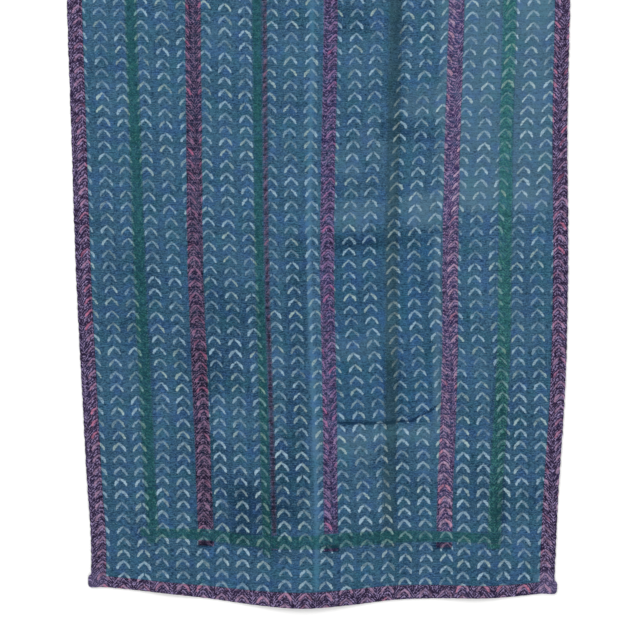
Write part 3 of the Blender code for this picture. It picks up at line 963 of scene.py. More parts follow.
@dataclass(frozen=True)
class Cotton:
    """Old plain-weave cotton, dyed over with indigo and then block printed.

    Soft, dry and a little fuzzy to the eye, with no gloss. The dye took unevenly, so the tone
    clouds from deep to pale, and the thread shows as a fine fleck. Lengths are in millimetres, but
    the relief's depth and the grains are in metres.
    """

    name: str
    dye: Dye
    mark: Mark
    bleed: float = 0.0
    patchy: float = 0.0
    fade: float = 0.0
    faded: str = "#72827c"
    whitened: float = 0.3
    rows: Rows = Rows()
    stroke: Stroke = Stroke()
    bare: str = "#a9bfcb"
    freshness: float = 0.26
    roughness: float = 0.92
    specular: float = 0.06
    sheen: float = 0.03
    sheen_roughness: float = 0.6
    relief: float = 0.55
    relief_depth: float = 0.0011

    # The threads lie about 0.45 mm apart, too fine to show, so the fleck is drawn at 2.6 mm.
    fleck: float = 2.6
    fleck_rough: float = 0.8
    threads: tuple[tuple[float, float], ...] = ((0.24, 1.0), (1.0, 0.40))
    column: float = 51.8
    row: float = 29.6
    apex: float = 0.815
    carved: tuple[float, float, float] = (3.0, 6.0, 1.0)
    veins_a_row: float = 3.4
    waver: float = 3.0
    nested: Ramp = (0.24, 0.46, 0.0, 1.0)
    uprights_a_column: float = 4.0
    upright: Ramp = (0.2, 1.2, 0.45, 0.0)
    clouds: Grain = Grain(9.0, 3.0, 0.6)
    clouds_weight: float = 0.9
    mottle: Grain = Grain(80.0, 4.0, 0.85)
    mottle_weight: float = 1.6
    weft_weight: float = 3.4
    warp_weight: float = 1.8
    # Weight of how pale the dye is, which takes in the painted shade lines.
    stain_and_shade_weight: float = 1.6
    seam_weight: float = 0.8
    depth: Ramp = (3.55, 4.75, 0.0, 1.0)
    cast_light: tuple[float, float] = (1.1, 0.45)
    green_clouds: Grain = Grain(17.0)
    blue_clouds: Grain = Grain(26.0)
    blue_weight: float = 0.9
    cast_from: float = 0.45
    cast_to: float = 0.75
    fade_from: float = 0.50
    fade_to: float = 0.75
    paste_heights: Ramp = (0.62, 0.30, 0.0, 1.0)
    shown: Ramp = (0.0, 0.25, 0.25, 1.0)
    creamy: Ramp = (0.6, 1.0, 0.0, 0.8)
    rubbed: Ramp = (0.32, 0.58, 0.55, 1.15)
    broken: Ramp = (0.44, 0.56, 0.0, 1.35)
    vein_relief: float = 0.5
    flecked: Ramp = (0.36, 0.62, 0.6, 1.15)
    bared: Ramp = (0.52, 0.68, 0.0, 0.45)
    bleed_stray: float = 2.4
    bleed_least: float = 0.25
    patches: Grain = Grain(42.0, 3.0, 0.7)
    patch_from: float = 0.42
    patch_to: float = 0.66

    def chances(self, g: Graph, place: Any) -> Any:
        """Three random values for each place, as outputs."""
        noise = g.add("TexWhiteNoise", [place], out="Color", noise_dimensions="3D")
        return g.add("SeparateColor", [noise]).node.outputs

    def local(self, g: Graph, cell_map: Any) -> tuple[Any, Any, Any, Any]:
        """Places inside each cell of the print.

        Args:
            g: the material's nodes.
            cell_map: the print's own coordinates.

        Returns:
            The cell, its place on the carved block, the place across from the chevron's middle and
            the place down from its apex, both in millimetres.
        """
        stroke = self.stroke
        cell = g.add("VectorMath", [cell_map], operation="FLOOR")
        inside = g.add("VectorMath", [cell_map], operation="FRACTION")
        block = g.add("VectorMath", [cell, self.carved], operation="DIVIDE")
        block = g.add("VectorMath", [block], operation="FLOOR")
        carving = g.add("VectorMath", [block, self.carved], operation="MULTIPLY")
        carving = g.add("VectorMath", [cell, carving], operation="SUBTRACT")
        place = g.add("SeparateXYZ", [inside]).node.outputs
        at = g.add("VectorMath", [cell_map, stroke.ragged_turns], operation="MULTIPLY")
        wobble = g.add("TexNoise", Grain(1.0, rough=stroke.ragged_rough).at(at), out="Color")
        strays = (
            (self.chances(g, block), stroke.stamp_stray),
            (self.chances(g, cell), stroke.mark_stray),
            (g.add("SeparateColor", [wobble]).node.outputs, stroke.ragged),
        )
        found = []
        for axis, size, middle in ((0, self.column, 0.5), (1, -self.row, self.apex)):
            value = g.add("Math", [place[axis], middle], operation="SUBTRACT")
            value = g.add("Math", [value, size], operation="MULTIPLY")
            for noise, reach in strays:
                stray = g.add("Math", [noise[axis], reach, -reach / 2], operation="MULTIPLY_ADD")
                value = g.add("Math", [value, stray], operation="ADD")
            found.append(value)
        return cell, carving, found[0], found[1]

    def chevron(self, g: Graph, cell_map: Any, fresh: Any, mottle: Any) -> tuple[Any, Any, Any]:
        """The block print: a chevron in each cell, with thick feet and a thin, often broken apex.

        Args:
            g: the material's nodes.
            cell_map: the print's own coordinates.
            fresh: how thick the paste lies, from 0 to 1.
            mottle: the fine mottling.

        Returns:
            The mask of the chevrons, the mask of the veins, and a random value for each stroke.
        """
        stroke = self.stroke
        smooth = {"interpolation_type": "SMOOTHSTEP"}
        cell, carving, x, y = self.local(g, cell_map)
        far = g.add("Math", [x], operation="ABSOLUTE")
        shape = g.add("TexWhiteNoise", [carving], out="Value", noise_dimensions="3D")
        least_arch = stroke.arch - stroke.arch_spread / 2
        arch = g.add("Math", [shape, stroke.arch_spread, least_arch], operation="MULTIPLY_ADD")
        along = g.add("Math", [far, stroke.run], operation="DIVIDE")
        fall = g.add("Math", [along, arch], operation="POWER")
        below = g.add("Math", [fall, -stroke.drop, y], operation="MULTIPLY_ADD")
        slope = stroke.arch * stroke.drop / stroke.run
        across = g.add("Math", [below, 1 / math.hypot(1, slope)], operation="MULTIPLY")
        off = g.add("Math", [across], operation="ABSOLUTE")
        side = g.add("Math", [x, 0.0], operation="LESS_THAN")
        side = g.add("CombineXYZ", [side, 0.3, 0.7])
        cut, inked = (
            self.chances(g, g.add("VectorMath", [one, side], operation="ADD")) for one in (carving, cell)
        )
        fat, start, hollow = (cut[k] for k in range(3))
        force, chance, spread = (inked[k] for k in range(3))
        half = g.add("Math", [along, stroke.swell], operation="POWER")
        blob = g.add("Math", [fat, stroke.blob_spread, stroke.blob], operation="MULTIPLY_ADD")
        half = g.add("Math", [half, blob, stroke.thin], operation="MULTIPLY_ADD")
        half = g.add("Math", [spread, stroke.spread, half], operation="MULTIPLY_ADD")
        half = g.add("Math", [fresh, stroke.heavier, half], operation="MULTIPLY_ADD")
        shortest = stroke.run - stroke.short
        reach = g.add("Math", [hollow, stroke.reach_spread, shortest], operation="MULTIPLY_ADD")
        tip = g.add("Math", [reach, stroke.tip], operation="ADD")
        bend = g.add("Math", [reach, stroke.bend], operation="SUBTRACT")
        round_end = g.add("MapRange", [far, bend, tip, 1.0, stroke.foot], **smooth)
        half = g.add("Math", [half, round_end], operation="MULTIPLY")
        inner = g.add("Math", [half, stroke.soft], operation="SUBTRACT")
        outer = g.add("Math", [half, stroke.soft], operation="ADD")
        mask = g.add("MapRange", [off, inner, outer, 1.0, 0.0], **smooth)
        begin = g.add("Math", [start, stroke.start_spread, stroke.start], operation="MULTIPLY_ADD")
        begun = g.add("Math", [begin, stroke.head], operation="ADD")
        head = g.add("MapRange", [far, begin, begun, 0.0, 1.0], **smooth)
        foot = g.add("MapRange", [far, reach, tip, 1.0, 0.0], **smooth)
        # The paste squeezes to the rim of a stroke, so the middle of a thick one is thinner.
        core = g.add("MapRange", [off, *stroke.core])
        ringed = g.add("Math", [hollow, stroke.ringed], operation="GREATER_THAN")
        core = g.add("Mix", {0: ringed, 2: 1.0, 3: core})
        weight = g.add("Math", [force, *stroke.force], operation="MULTIPLY_ADD")
        weight = g.add("Math", [along, stroke.foot_force, weight], operation="MULTIPLY_ADD")
        faint_at = g.add("VectorMath", [cell_map, stroke.faint_turns], operation="MULTIPLY")
        faint = g.add("MapRange", [g.add("TexNoise", Grain(1.0).at(faint_at)), *stroke.faint])
        for factor in (head, foot, core, weight, faint):
            mask = g.add("Math", [mask, factor], operation="MULTIPLY")
        return mask, self.vein(g, x, below, mottle), chance

    def vein(self, g: Graph, x: Any, below: Any, mottle: Any) -> Any:
        """The fine lines of the older print: nested chevrons, and uprights through and between them.

        Args:
            g: the material's nodes.
            x: place across from the middle of the chevron.
            below: place below the chevron's stroke.
            mottle: the fine mottling, which they waver by.

        Returns:
            Their mask.
        """
        smooth = {"interpolation_type": "SMOOTHSTEP"}
        nest = g.add("Math", [below, self.veins_a_row / self.row], operation="MULTIPLY")
        nest = g.add("Math", [mottle, self.waver, nest], operation="MULTIPLY_ADD")
        nest = g.add("Math", [nest, 0.5], operation="PINGPONG")
        lines = g.add("MapRange", [nest, *self.nested], **smooth)
        upright = g.add("Math", [x, self.column / self.uprights_a_column], operation="PINGPONG")
        upright = g.add("MapRange", [upright, *self.upright], **smooth)
        return g.add("Math", [lines, upright], operation="MAXIMUM")

    def fibre(self, g: Graph, cloth: Any) -> tuple[Any, Any]:
        """The fleck of the threads across and along.

        Args:
            g: the material's nodes.
            cloth: places on the cloth, in metres.

        Returns:
            The fleck of the threads across, and of those along.
        """
        found = []
        for stretch in self.threads:
            scale = tuple(share / (self.fleck * MM) for share in stretch)
            at = g.add("VectorMath", [cloth, (*scale, 1.0)], operation="MULTIPLY")
            found.append(g.add("TexNoise", Grain(1.0, rough=self.fleck_rough).at(at)))
        return found[0], found[1]

    def dyed(self, g: Graph, cloth: Any, tone: Any, dye: Dye) -> Any:
        """The dyed cloth's colour.

        Args:
            g: the material's nodes.
            cloth: places on the cloth, in metres.
            tone: how pale the dye is, from 0 to 1.
            dye: its tones.

        Returns:
            The colour.
        """
        colour = g.add("Mix", {0: tone, 6: linear(dye.deep), 7: linear(dye.pale)}, 2, data_type="RGBA")
        lit = g.add("Math", [tone, *self.cast_light], operation="MULTIPLY_ADD")
        for code, grain, weight in (
            (dye.green_cast, self.green_clouds, 1.0),
            (dye.blue_cast, self.blue_clouds, self.blue_weight),
        ):
            cast = g.add("VectorMath", {0: linear(code)[:3], "Scale": lit}, operation="SCALE")
            where = g.add("TexNoise", grain.at(cloth))
            share = g.add("MapRange", [where, self.cast_from, self.cast_to, 0.0, dye.cast * weight])
            colour = g.add("Mix", {0: share, 6: colour, 7: cast}, 2, data_type="RGBA")
        return colour

    def material(self) -> bpy.types.Material:
        """Makes the finish.

        Returns:
            The material.
        """
        g = Graph(self.name)
        cloth = g.add("UVMap", {}, uv_map="cloth")
        cell_map = g.add("UVMap", {}, uv_map="print")
        wear = g.add("SeparateXYZ", [g.add("UVMap", {}, uv_map="wear")]).node.outputs
        # The first map holds how pale the dye is, darkened further along the painted shade lines; the second
        # how proud the seam stands.
        stain_and_shade, seam = wear[0], wear[1]
        clouds = g.add("TexNoise", self.clouds.at(cloth))
        mottle = g.add("TexNoise", self.mottle.at(cloth))
        weft, warp = self.fibre(g, cloth)
        half_clouds = -self.clouds_weight / 2
        tone = g.add("Math", [clouds, self.clouds_weight, half_clouds], operation="MULTIPLY_ADD")
        for value, weight in (
            (mottle, self.mottle_weight),
            (weft, self.weft_weight),
            (warp, self.warp_weight),
            (stain_and_shade, self.stain_and_shade_weight),
            (seam, self.seam_weight),
        ):
            tone = g.add("Math", [value, weight, tone], operation="MULTIPLY_ADD")
        tone = g.add("MapRange", [tone, *self.depth])
        colour = self.dyed(g, cloth, tone, self.dye)
        if self.fade:
            share = g.add("MapRange", [stain_and_shade, self.fade_from, self.fade_to, 0.0, self.fade])
            colour = g.add("Mix", {0: share, 6: colour, 7: linear(self.faded)}, 2, data_type="RGBA")
        if self.bleed or self.patchy:
            colour = self.worn(g, cloth, tone, mottle, colour)
        # The stamping starts at the lower end, where the block carried the most paste.
        up = g.add("SeparateXYZ", [cloth]).node.outputs[1]
        fresh = g.add("MapRange", [up, *self.paste_heights])
        mask, veins, chance = self.chevron(g, cell_map, fresh, mottle)
        # The paste hardly shows where the dye is at its darkest, nor along the painted shade lines.
        shown = g.add("MapRange", [stain_and_shade, *self.shown])
        height = g.add("Math", [weft, warp], operation="ADD")
        rubbed = g.add("MapRange", [weft, *self.rubbed])
        if self.mark.vein_strength:
            broken = g.add("MapRange", [mottle, *self.broken])
            amount = veins
            for factor in (broken, rubbed, shown, self.mark.vein_strength):
                amount = g.add("Math", [amount, factor], operation="MULTIPLY")
            colour = g.add("Mix", {0: amount, 6: colour, 7: linear(self.mark.veins)}, 2, data_type="RGBA")
            height = g.add("Math", [veins, self.vein_relief, height], operation="MULTIPLY_ADD")
        if self.mark.strength:
            flecked = g.add("MapRange", [mottle, *self.flecked])
            for factor in (flecked, rubbed, shown):
                mask = g.add("Math", [mask, factor], operation="MULTIPLY")
            mask = g.add("Math", [mask, self.mark.strength], operation="MULTIPLY", use_clamp=True)
            ink = self.ink(g, chance, stain_and_shade, fresh)
            colour = g.add("Mix", {0: mask, 6: colour, 7: ink}, 2, data_type="RGBA")
        colour, height = self.stitched(g, cloth, shown, colour, height)
        depth = {"Strength": self.relief, "Distance": self.relief_depth, "Height": height}
        shader = g.add(
            "BsdfPrincipled",
            {
                "Base Color": colour,
                "Roughness": self.roughness,
                "Specular IOR Level": self.specular,
                "Sheen Weight": self.sheen,
                "Sheen Roughness": self.sheen_roughness,
                "Normal": g.add("Bump", depth),
            },
        )
        g.add("OutputMaterial", {"Surface": shader})
        return g.material

    def ink(self, g: Graph, chance: Any, stain_and_shade: Any, fresh: Any) -> Any:
        """The colour of the print.

        Args:
            g: the material's nodes.
            chance: a random value for each stroke.
            stain_and_shade: how pale the dye is at a place, from 0 to 1, lower along the painted shade
                lines.
            fresh: how thick the paste lies, from 0 to 1.

        Returns:
            The colour.
        """
        creamy = g.add("MapRange", [chance, *self.creamy])
        tones = {0: creamy, 6: linear(self.mark.tone), 7: linear(self.mark.second)}
        ink = g.add("Mix", tones, 2, data_type="RGBA")
        # Where the dye wore pale the paste kept more of it off, so the mark is nearly white.
        bare = g.add("MapRange", [stain_and_shade, *self.bared])
        thick = g.add("Math", [fresh, self.freshness], operation="MULTIPLY")
        bare = g.add("Math", [bare, thick], operation="MAXIMUM")
        bare = g.add("Math", [bare, self.whitened], operation="MULTIPLY")
        return g.add("Mix", {0: bare, 6: ink, 7: linear(self.bare)}, 2, data_type="RGBA")

    def worn(self, g: Graph, cloth: Any, tone: Any, mottle: Any, colour: Any) -> Any:
        """Indigo that crept in from the edges and took in patches, over the cloth's own colour.

        Args:
            g: the material's nodes.
            cloth: places on the cloth, in metres.
            tone: how pale the dye is.
            mottle: the fine mottling.
            colour: the cloth's own colour.

        Returns:
            The colour with the indigo.
        """
        under = self.dyed(g, cloth, tone, INDIGO)
        edge = g.add("SeparateXYZ", [g.add("UVMap", {}, uv_map="edge")])
        stray = self.bleed_stray * self.bleed
        depth = g.add("Math", [mottle, -stray, stray / 2], operation="MULTIPLY_ADD")
        depth = g.add("Math", [edge, 1 / MM, depth], operation="MULTIPLY_ADD")
        reach = [depth, 0.0, self.bleed, self.bleed_least, 1.0]
        own = g.add("MapRange", reach, interpolation_type="SMOOTHSTEP")
        patch = g.add("TexNoise", self.patches.at(cloth))
        patch = g.add("MapRange", [patch, self.patch_from, self.patch_to, 1.0, 1.0 - self.patchy])
        own = g.add("Math", [own, patch], operation="MULTIPLY")
        return g.add("Mix", {0: own, 6: under, 7: colour}, 2, data_type="RGBA")

    def stitched(self, g: Graph, cloth: Any, shown: Any, colour: Any, height: Any) -> tuple[Any, Any]:
        """The line that each row of running stitch presses into the cloth, with a dark line of painted shade
        in the groove, which the red cloths swap for a lilac line of thread.

        Args:
            g: the material's nodes.
            cloth: places on the cloth, in metres.
            shown: how far a mark on the dye shows.
            colour: the cloth's colour so far.
            height: its relief so far.

        Returns:
            The colour and the relief with the rows.
        """
        rows = self.rows
        place = g.add("SeparateXYZ", [cloth]).node.outputs
        near = g.add("Math", [place[1], rows.spacing * MM], operation="MODULO")
        near = g.add("Math", [near, rows.spacing * MM / 2], operation="PINGPONG")
        near = g.add("Math", [near, 1 / MM], operation="MULTIPLY")
        line = [near, 0.0, rows.half_width, 1.0, 0.0]
        pressed = g.add("MapRange", line, interpolation_type="SMOOTHSTEP")
        beat = g.add("Math", [place[0], math.tau / (rows.beat * MM)], operation="MULTIPLY")
        beat = g.add("Math", [beat], operation="SINE")
        beat = g.add("Math", [beat, rows.press_spread, rows.press], operation="MULTIPLY_ADD")
        pressed = g.add("Math", [pressed, beat], operation="MULTIPLY")
        height = g.add("Math", [pressed, -rows.depth, height], operation="MULTIPLY_ADD")
        # Mixes the row tone in along the groove: painted shade on most cloths, the lilac thread on the red
        # ones.
        shade = g.add("Math", [pressed, rows.share], operation="MULTIPLY", use_clamp=True)
        shade = g.add("Math", [shade, shown], operation="MULTIPLY")
        return g.add("Mix", {0: shade, 6: colour, 7: linear(rows.tone)}, 2, data_type="RGBA"), height


@dataclass(frozen=True)
class Yarn:
    """Soft-spun cotton sewing yarn, dull and slightly fuzzy, dyed with the cloth it holds."""

    name: str
    deep: str
    pale: str
    spots: Grain = Grain(95.0)
    spotted: Ramp = (0.38, 0.62, 0.0, 1.0)
    roughness: float = 0.85
    specular: float = 0.25
    # The yarn turns once in about 0.4 mm, drawn a little coarser.
    turns: float = 160.0
    uneven: float = 2.0
    relief: float = 0.4
    relief_depth: float = 0.0002

    def material(self) -> bpy.types.Material:
        """Makes the finish.

        Returns:
            The material.
        """
        g = Graph(self.name)
        place = g.add("TexCoord", {}, out="Object")
        share = g.add("MapRange", [g.add("TexNoise", self.spots.at(place)), *self.spotted])
        colour = g.add("Mix", {0: share, 6: linear(self.deep), 7: linear(self.pale)}, 2, data_type="RGBA")
        twist = {"Vector": place, "Scale": self.turns, "Distortion": self.uneven}
        height = g.add("TexWave", twist, out="Fac")
        depth = {"Strength": self.relief, "Distance": self.relief_depth, "Height": height}
        shader = g.add(
            "BsdfPrincipled",
            {
                "Base Color": colour,
                "Roughness": self.roughness,
                "Specular IOR Level": self.specular,
                "Normal": g.add("Bump", depth),
            },
        )
        g.add("OutputMaterial", {"Surface": shader})
        return g.material


PALE_MARK = Mark("#87a4b7", "#94a9a2", 1.0)
GREEN_MARK = Mark("#74999c", "#86a290", 0.72, "#4a857a", 0.30)
RED_MARK = Mark("#8e6988", "#a65c7c", 0.88, "#806a88", 0.95)
NO_MARK = Mark("#000000", "#000000", 0.0)
LILAC_ROWS = Rows("#8a7ba2", 0.34, 1.1)


@dataclass(frozen=True)
class Wardrobe:
    """The finishes of the throw, each made once.

    All are the same overdyed cotton. What differs is the colour that each cloth had before the
    overdye, and how far the indigo crept in from its edges.
    """

    ground: Cotton = Cotton("indigo overdyed cotton", INDIGO, PALE_MARK, fade=0.14, whitened=1.0)
    patch: Cotton = replace(
        ground,
        name="indigo overdyed cotton patch",
        dye=Dye("#0c2941", "#3d6581", "#1a5263", "#2a4a84"),
    )
    green: Cotton = Cotton(
        "overdyed green cotton",
        Dye("#0c333e", "#235560", "#154842", "#1c4458"),
        GREEN_MARK,
        bleed=4.0,
        patchy=0.30,
    )
    green_figured: Cotton = Cotton(
        "overdyed figured green cotton",
        Dye("#10393f", "#2c6068", "#1b5046", "#234e66"),
        replace(GREEN_MARK, vein_strength=0.65),
        bleed=5.0,
        patchy=0.40,
    )
    olive: Cotton = Cotton(
        "overdyed olive cotton",
        Dye("#153140", "#375463", "#294c50", "#274a62"),
        Mark("#83979a", "#8c9897", 0.85),
        bleed=6.0,
        patchy=0.35,
    )
    red: Cotton = Cotton(
        "overdyed red cotton",
        Dye("#0a0a1e", "#27223f", "#22162e", "#151c40"),
        RED_MARK,
        bleed=1.6,
        patchy=0.25,
        rows=LILAC_ROWS,
    )
    red_dark: Cotton = Cotton(
        "overdyed plum cotton",
        Dye("#120d20", "#342c42", "#1e2a34", "#1c2848"),
        Mark("#7a6a84", "#885c72", 0.6, "#66607a", 0.5),
        bleed=5.0,
        patchy=0.55,
        rows=LILAC_ROWS,
    )
    red_bright: Cotton = Cotton(
        "overdyed crimson cotton",
        Dye("#100c2a", "#322c50", "#301838", "#1c2852"),
        replace(RED_MARK, tone="#8c6f9a", second="#ac5a86", veins="#8474a0"),
        bleed=1.6,
        patchy=0.40,
        rows=LILAC_ROWS,
    )
    red_blue: Cotton = Cotton(
        "overdyed violet cotton",
        Dye("#120e2a", "#3b3058", "#361f3e", "#222d56"),
        replace(RED_MARK, tone="#ae8ea8", second="#c47488", veins="#9c84aa"),
        bleed=1.6,
        patchy=0.40,
        rows=LILAC_ROWS,
    )
    binding: Cotton = Cotton(
        "overdyed red cotton binding",
        Dye("#120b22", "#352845", "#281d38", "#1e2246"),
        Mark("#a07c9c", "#bc6280", 0.95, "#9888b2", 1.0),
        fade=0.30,
        faded="#66648c",
    )
    back: Cotton = Cotton(
        "plain indigo backing cotton",
        Dye("#142c42", "#385a74", "#234c5c", "#2a4670"),
        NO_MARK,
    )


@dataclass
class Maker:
    """What every class of pieces shares: the lay of the cloth, its print and its finishes."""

    lay: Lay = field(default_factory=Lay)
    finishes: dict[str, bpy.types.Material] = field(default_factory=dict)

    def finish(self, name: str) -> bpy.types.Material:
        """The material of a finish, made when it is first asked for."""
        if name not in self.finishes:
            self.finishes[name] = getattr(Wardrobe, name).material()
        return self.finishes[name]

    def draft(self) -> MeshDraft:
        """An empty piece of cloth."""
        return MeshDraft(self.lay, BlockPrint(self.lay))

    def place(self, piece: bpy.types.Object, slot: str, nodes: tuple[str, ...]) -> None:
        """Ties a piece to the throw's body and hides the solids that it stands for.

        Args:
            piece: the piece.
            slot: not used.
            nodes: the solids that it replaces.
        """
        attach(piece, "root")
        if nodes:
            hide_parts(*nodes)
        log.info("%s: %d faces", piece.name, len(piece.data.polygons))


@dataclass
class Quilt:
    """The run-stitched layers of cotton: a ribbed printed face over a plainer back."""

    maker: Maker
    steps_a_rib: int = 6
    left_columns: int = 104
    seam_columns: int = 3
    right_columns: int = 110
    seam_reach: float = 1.6
    back_skip: int = 6

    def shares(self, row: Array) -> Array:
        """The columns' shares of the width, which lie closer together on the seam."""
        lay = self.maker.lay
        inset = (lay.strip + lay.edge_gap) / lay.width_at(row)
        seam, half = lay.middle(lay.seam, row), lay.seam_half * self.seam_reach / lay.width_at(row)
        stops = (inset, seam - half, seam, seam + half, 1 - inset)
        counts = (self.left_columns, self.seam_columns, self.seam_columns, self.right_columns)
        runs = []
        for low, high, count in zip(stops, stops[1:], counts):
            t = np.arange(count) / count
            runs.append(low[:, None] + (high - low)[:, None] * t)
        return np.concatenate([*runs, stops[-1][:, None]], axis=1)

    def build(self) -> bpy.types.Object:
        """Makes the quilted layers.

        Returns:
            The piece.
        """
        lay = self.maker.lay
        count = lay.rows * self.steps_a_rib
        inset = lay.strip + lay.edge_gap
        row = np.clip(np.linspace(0, lay.length, count + 1), inset, lay.length - inset)
        share = self.shares(row)
        rows = np.broadcast_to(row[:, None], share.shape)
        draft = self.maker.draft()
        face = draft.add(share, rows, lay.face(share, rows))
        skip = self.back_skip
        back = draft.add(share[::skip, ::skip], rows[::skip, ::skip], lay.under(share, rows)[::skip, ::skip])
        draft.quads(face)
        draft.quads(back, slot=1)
        for side in (0, -1):
            self.close_edge(draft, face[side], back[side])
        for side in (0, -1):
            self.close_edge(draft, face[:, side], back[:, side])
        piece = draft.finish("quilt_body", [self.maker.finish("ground"), self.maker.finish("back")])
        self.maker.place(piece, "ground_cotton", ("quilted_ground",))
        return piece

    def close_edge(self, draft: MeshDraft, fine: Array, coarse: Array) -> None:
        """Joins an edge of the face to the back's, which has fewer points."""
        skip = self.back_skip
        for k in range(len(coarse) - 1):
            run = fine[k * skip : (k + 1) * skip + 1]
            half = skip // 2
            for i in range(skip):
                draft.face((run[i], run[i + 1], coarse[k] if i < half else coarse[k + 1]), slot=1)
            draft.face((coarse[k], coarse[k + 1], run[half]), slot=1)


STRIP_FINISHES = {
    "green_strip_1": "green",
    "red_strip_1": "red",
    "green_strip_2": "green",
    "red_edging": "red_dark",
    "red_strip_2": "red_bright",
    "green_strip_3": "olive",
    "red_strip_3": "red_blue",
    "green_strip_4": "green_figured",
}


@dataclass
class SewnOn:
    """The strips sewn down the length and across it, and the mending patch."""

    maker: Maker
    across: int = 9
    patch_across: int = 48
    cross_along: int = 230
    round_edge: float = 0.0022
    puff: float = 0.0003
    steps_a_half_rib: int = 3
    end_step: float = 0.002
    clear: float = 0.00005
    thinnest: float = 0.0002
    full: float = 0.8

    def heights(self, low: float, high: float) -> Array:
        """The rows of a piece, at every sixth of a rib and at its own two ends."""
        lay = self.maker.lay
        step = lay.half_row / self.steps_a_half_rib
        inside = np.arange(math.ceil(low / step) + 1, math.floor(high / step)) * step
        return np.concatenate([[low, low + self.end_step], inside, [high - self.end_step, high]])

    def rounded(self, off: Array) -> Array:
        """How much a turned-under edge rounds off at a distance from it: from 0 to 1 inside."""
        return np.sqrt(np.clip(off / self.round_edge, 0.0, 1.0))

    def crowded(self, count: int) -> Array:
        """Shares from 0 to 1 that crowd towards both ends."""
        return 0.5 - 0.5 * np.cos(np.linspace(0, math.pi, count))

    def long_piece(
        self, name: str, finish: str, slot: str, span: tuple[float, float], level: Level, count: int
    ) -> None:
        """Makes a strip or patch that runs up the cloth.

        Args:
            name: the solid that it replaces.
            finish: its finish.
            slot: its record slot.
            span: the heights between which it runs.
            level: how high it lies.
            count: how many columns it has.
        """
        lay = self.maker.lay
        row = self.heights(*span)[:, None]
        if level is Level.PATCH:
            left, right = lay.patch_edges(row)
        else:
            left, right = lay.edges(lay.long_strips[name], row)
        t = np.linspace(0, 1, count) if level is Level.PATCH else self.crowded(count)
        share = left + (right - left) * t
        rows = np.broadcast_to(row, share.shape)
        from_side = np.minimum(share - left, right - share) * lay.width_at(rows)
        from_end = np.minimum(rows - span[0], span[1] - rows)
        edge, end = self.rounded(from_side), self.rounded(from_end)
        inner = (share - left) * (right - share) / ((right - left) / 2) ** 2
        below = lay.face(share, rows) + lay.cover(share, rows, Level(level.value - 1))
        over = below + self.thinnest + lay.strip * self.full * edge * end + self.puff * inner * end
        draft = self.maker.draft()
        draft.slab(share, rows, below + self.clear, over, np.minimum(from_side, from_end))
        piece = draft.finish(name + "_cloth", [self.maker.finish(finish)])
        self.maker.place(piece, slot, (name,))
        wide = float(np.mean((right - left) * lay.width_at(row)))

    def cross_piece(self, name: str, from_top: bool) -> None:
        """Makes the green strip that crosses the others near one end."""
        lay = self.maker.lay
        first, last = lay.cross_shares()
        share = np.linspace(first, last, self.cross_along)[None, :]
        low, high = lay.cross_span(share, from_top)
        t = self.crowded(self.across)[:, None]
        rows = low + (high - low) * t
        share = np.broadcast_to(share, rows.shape)
        from_side = np.minimum(rows - low, high - rows)
        from_end = np.minimum(share - first, last - share) * lay.width_at(rows)
        below = lay.face(share, rows) + lay.cover(share, rows, Level.STRIP)
        edge, end = self.rounded(from_side), self.rounded(from_end)
        over = below + self.thinnest + lay.strip * self.full * edge * end
        draft = self.maker.draft()
        draft.slab(share, rows, below + self.clear, over, np.minimum(from_side, from_end))
        piece = draft.finish(name + "_cloth", [self.maker.finish("green")])
        self.maker.place(piece, "green_cotton", (name,))
        reach = float((last - first) * lay.width_at(float(rows[0, 0])))

    def build(self) -> None:
        """Makes every sewn-on piece."""
        lay = self.maker.lay
        patch = (lay.patch_low, lay.patch_high)
        self.long_piece("mending_patch", "patch", "patch_cotton", patch, Level.PATCH, self.patch_across)
        for name, line in lay.long_strips.items():
            finish = STRIP_FINISHES[name]
            span = (line.end, lay.length - line.end)
            self.long_piece(name, finish, finish.split("_")[0] + "_cotton", span, Level.STRIP, self.across)
        self.cross_piece("green_cross_lower", from_top=False)
        self.cross_piece("green_cross_upper", from_top=True)


class Side(Enum):
    """The edges of the throw."""

    LEFT = "left"
    RIGHT = "right"
    LOWER = "lower"
    UPPER = "upper"


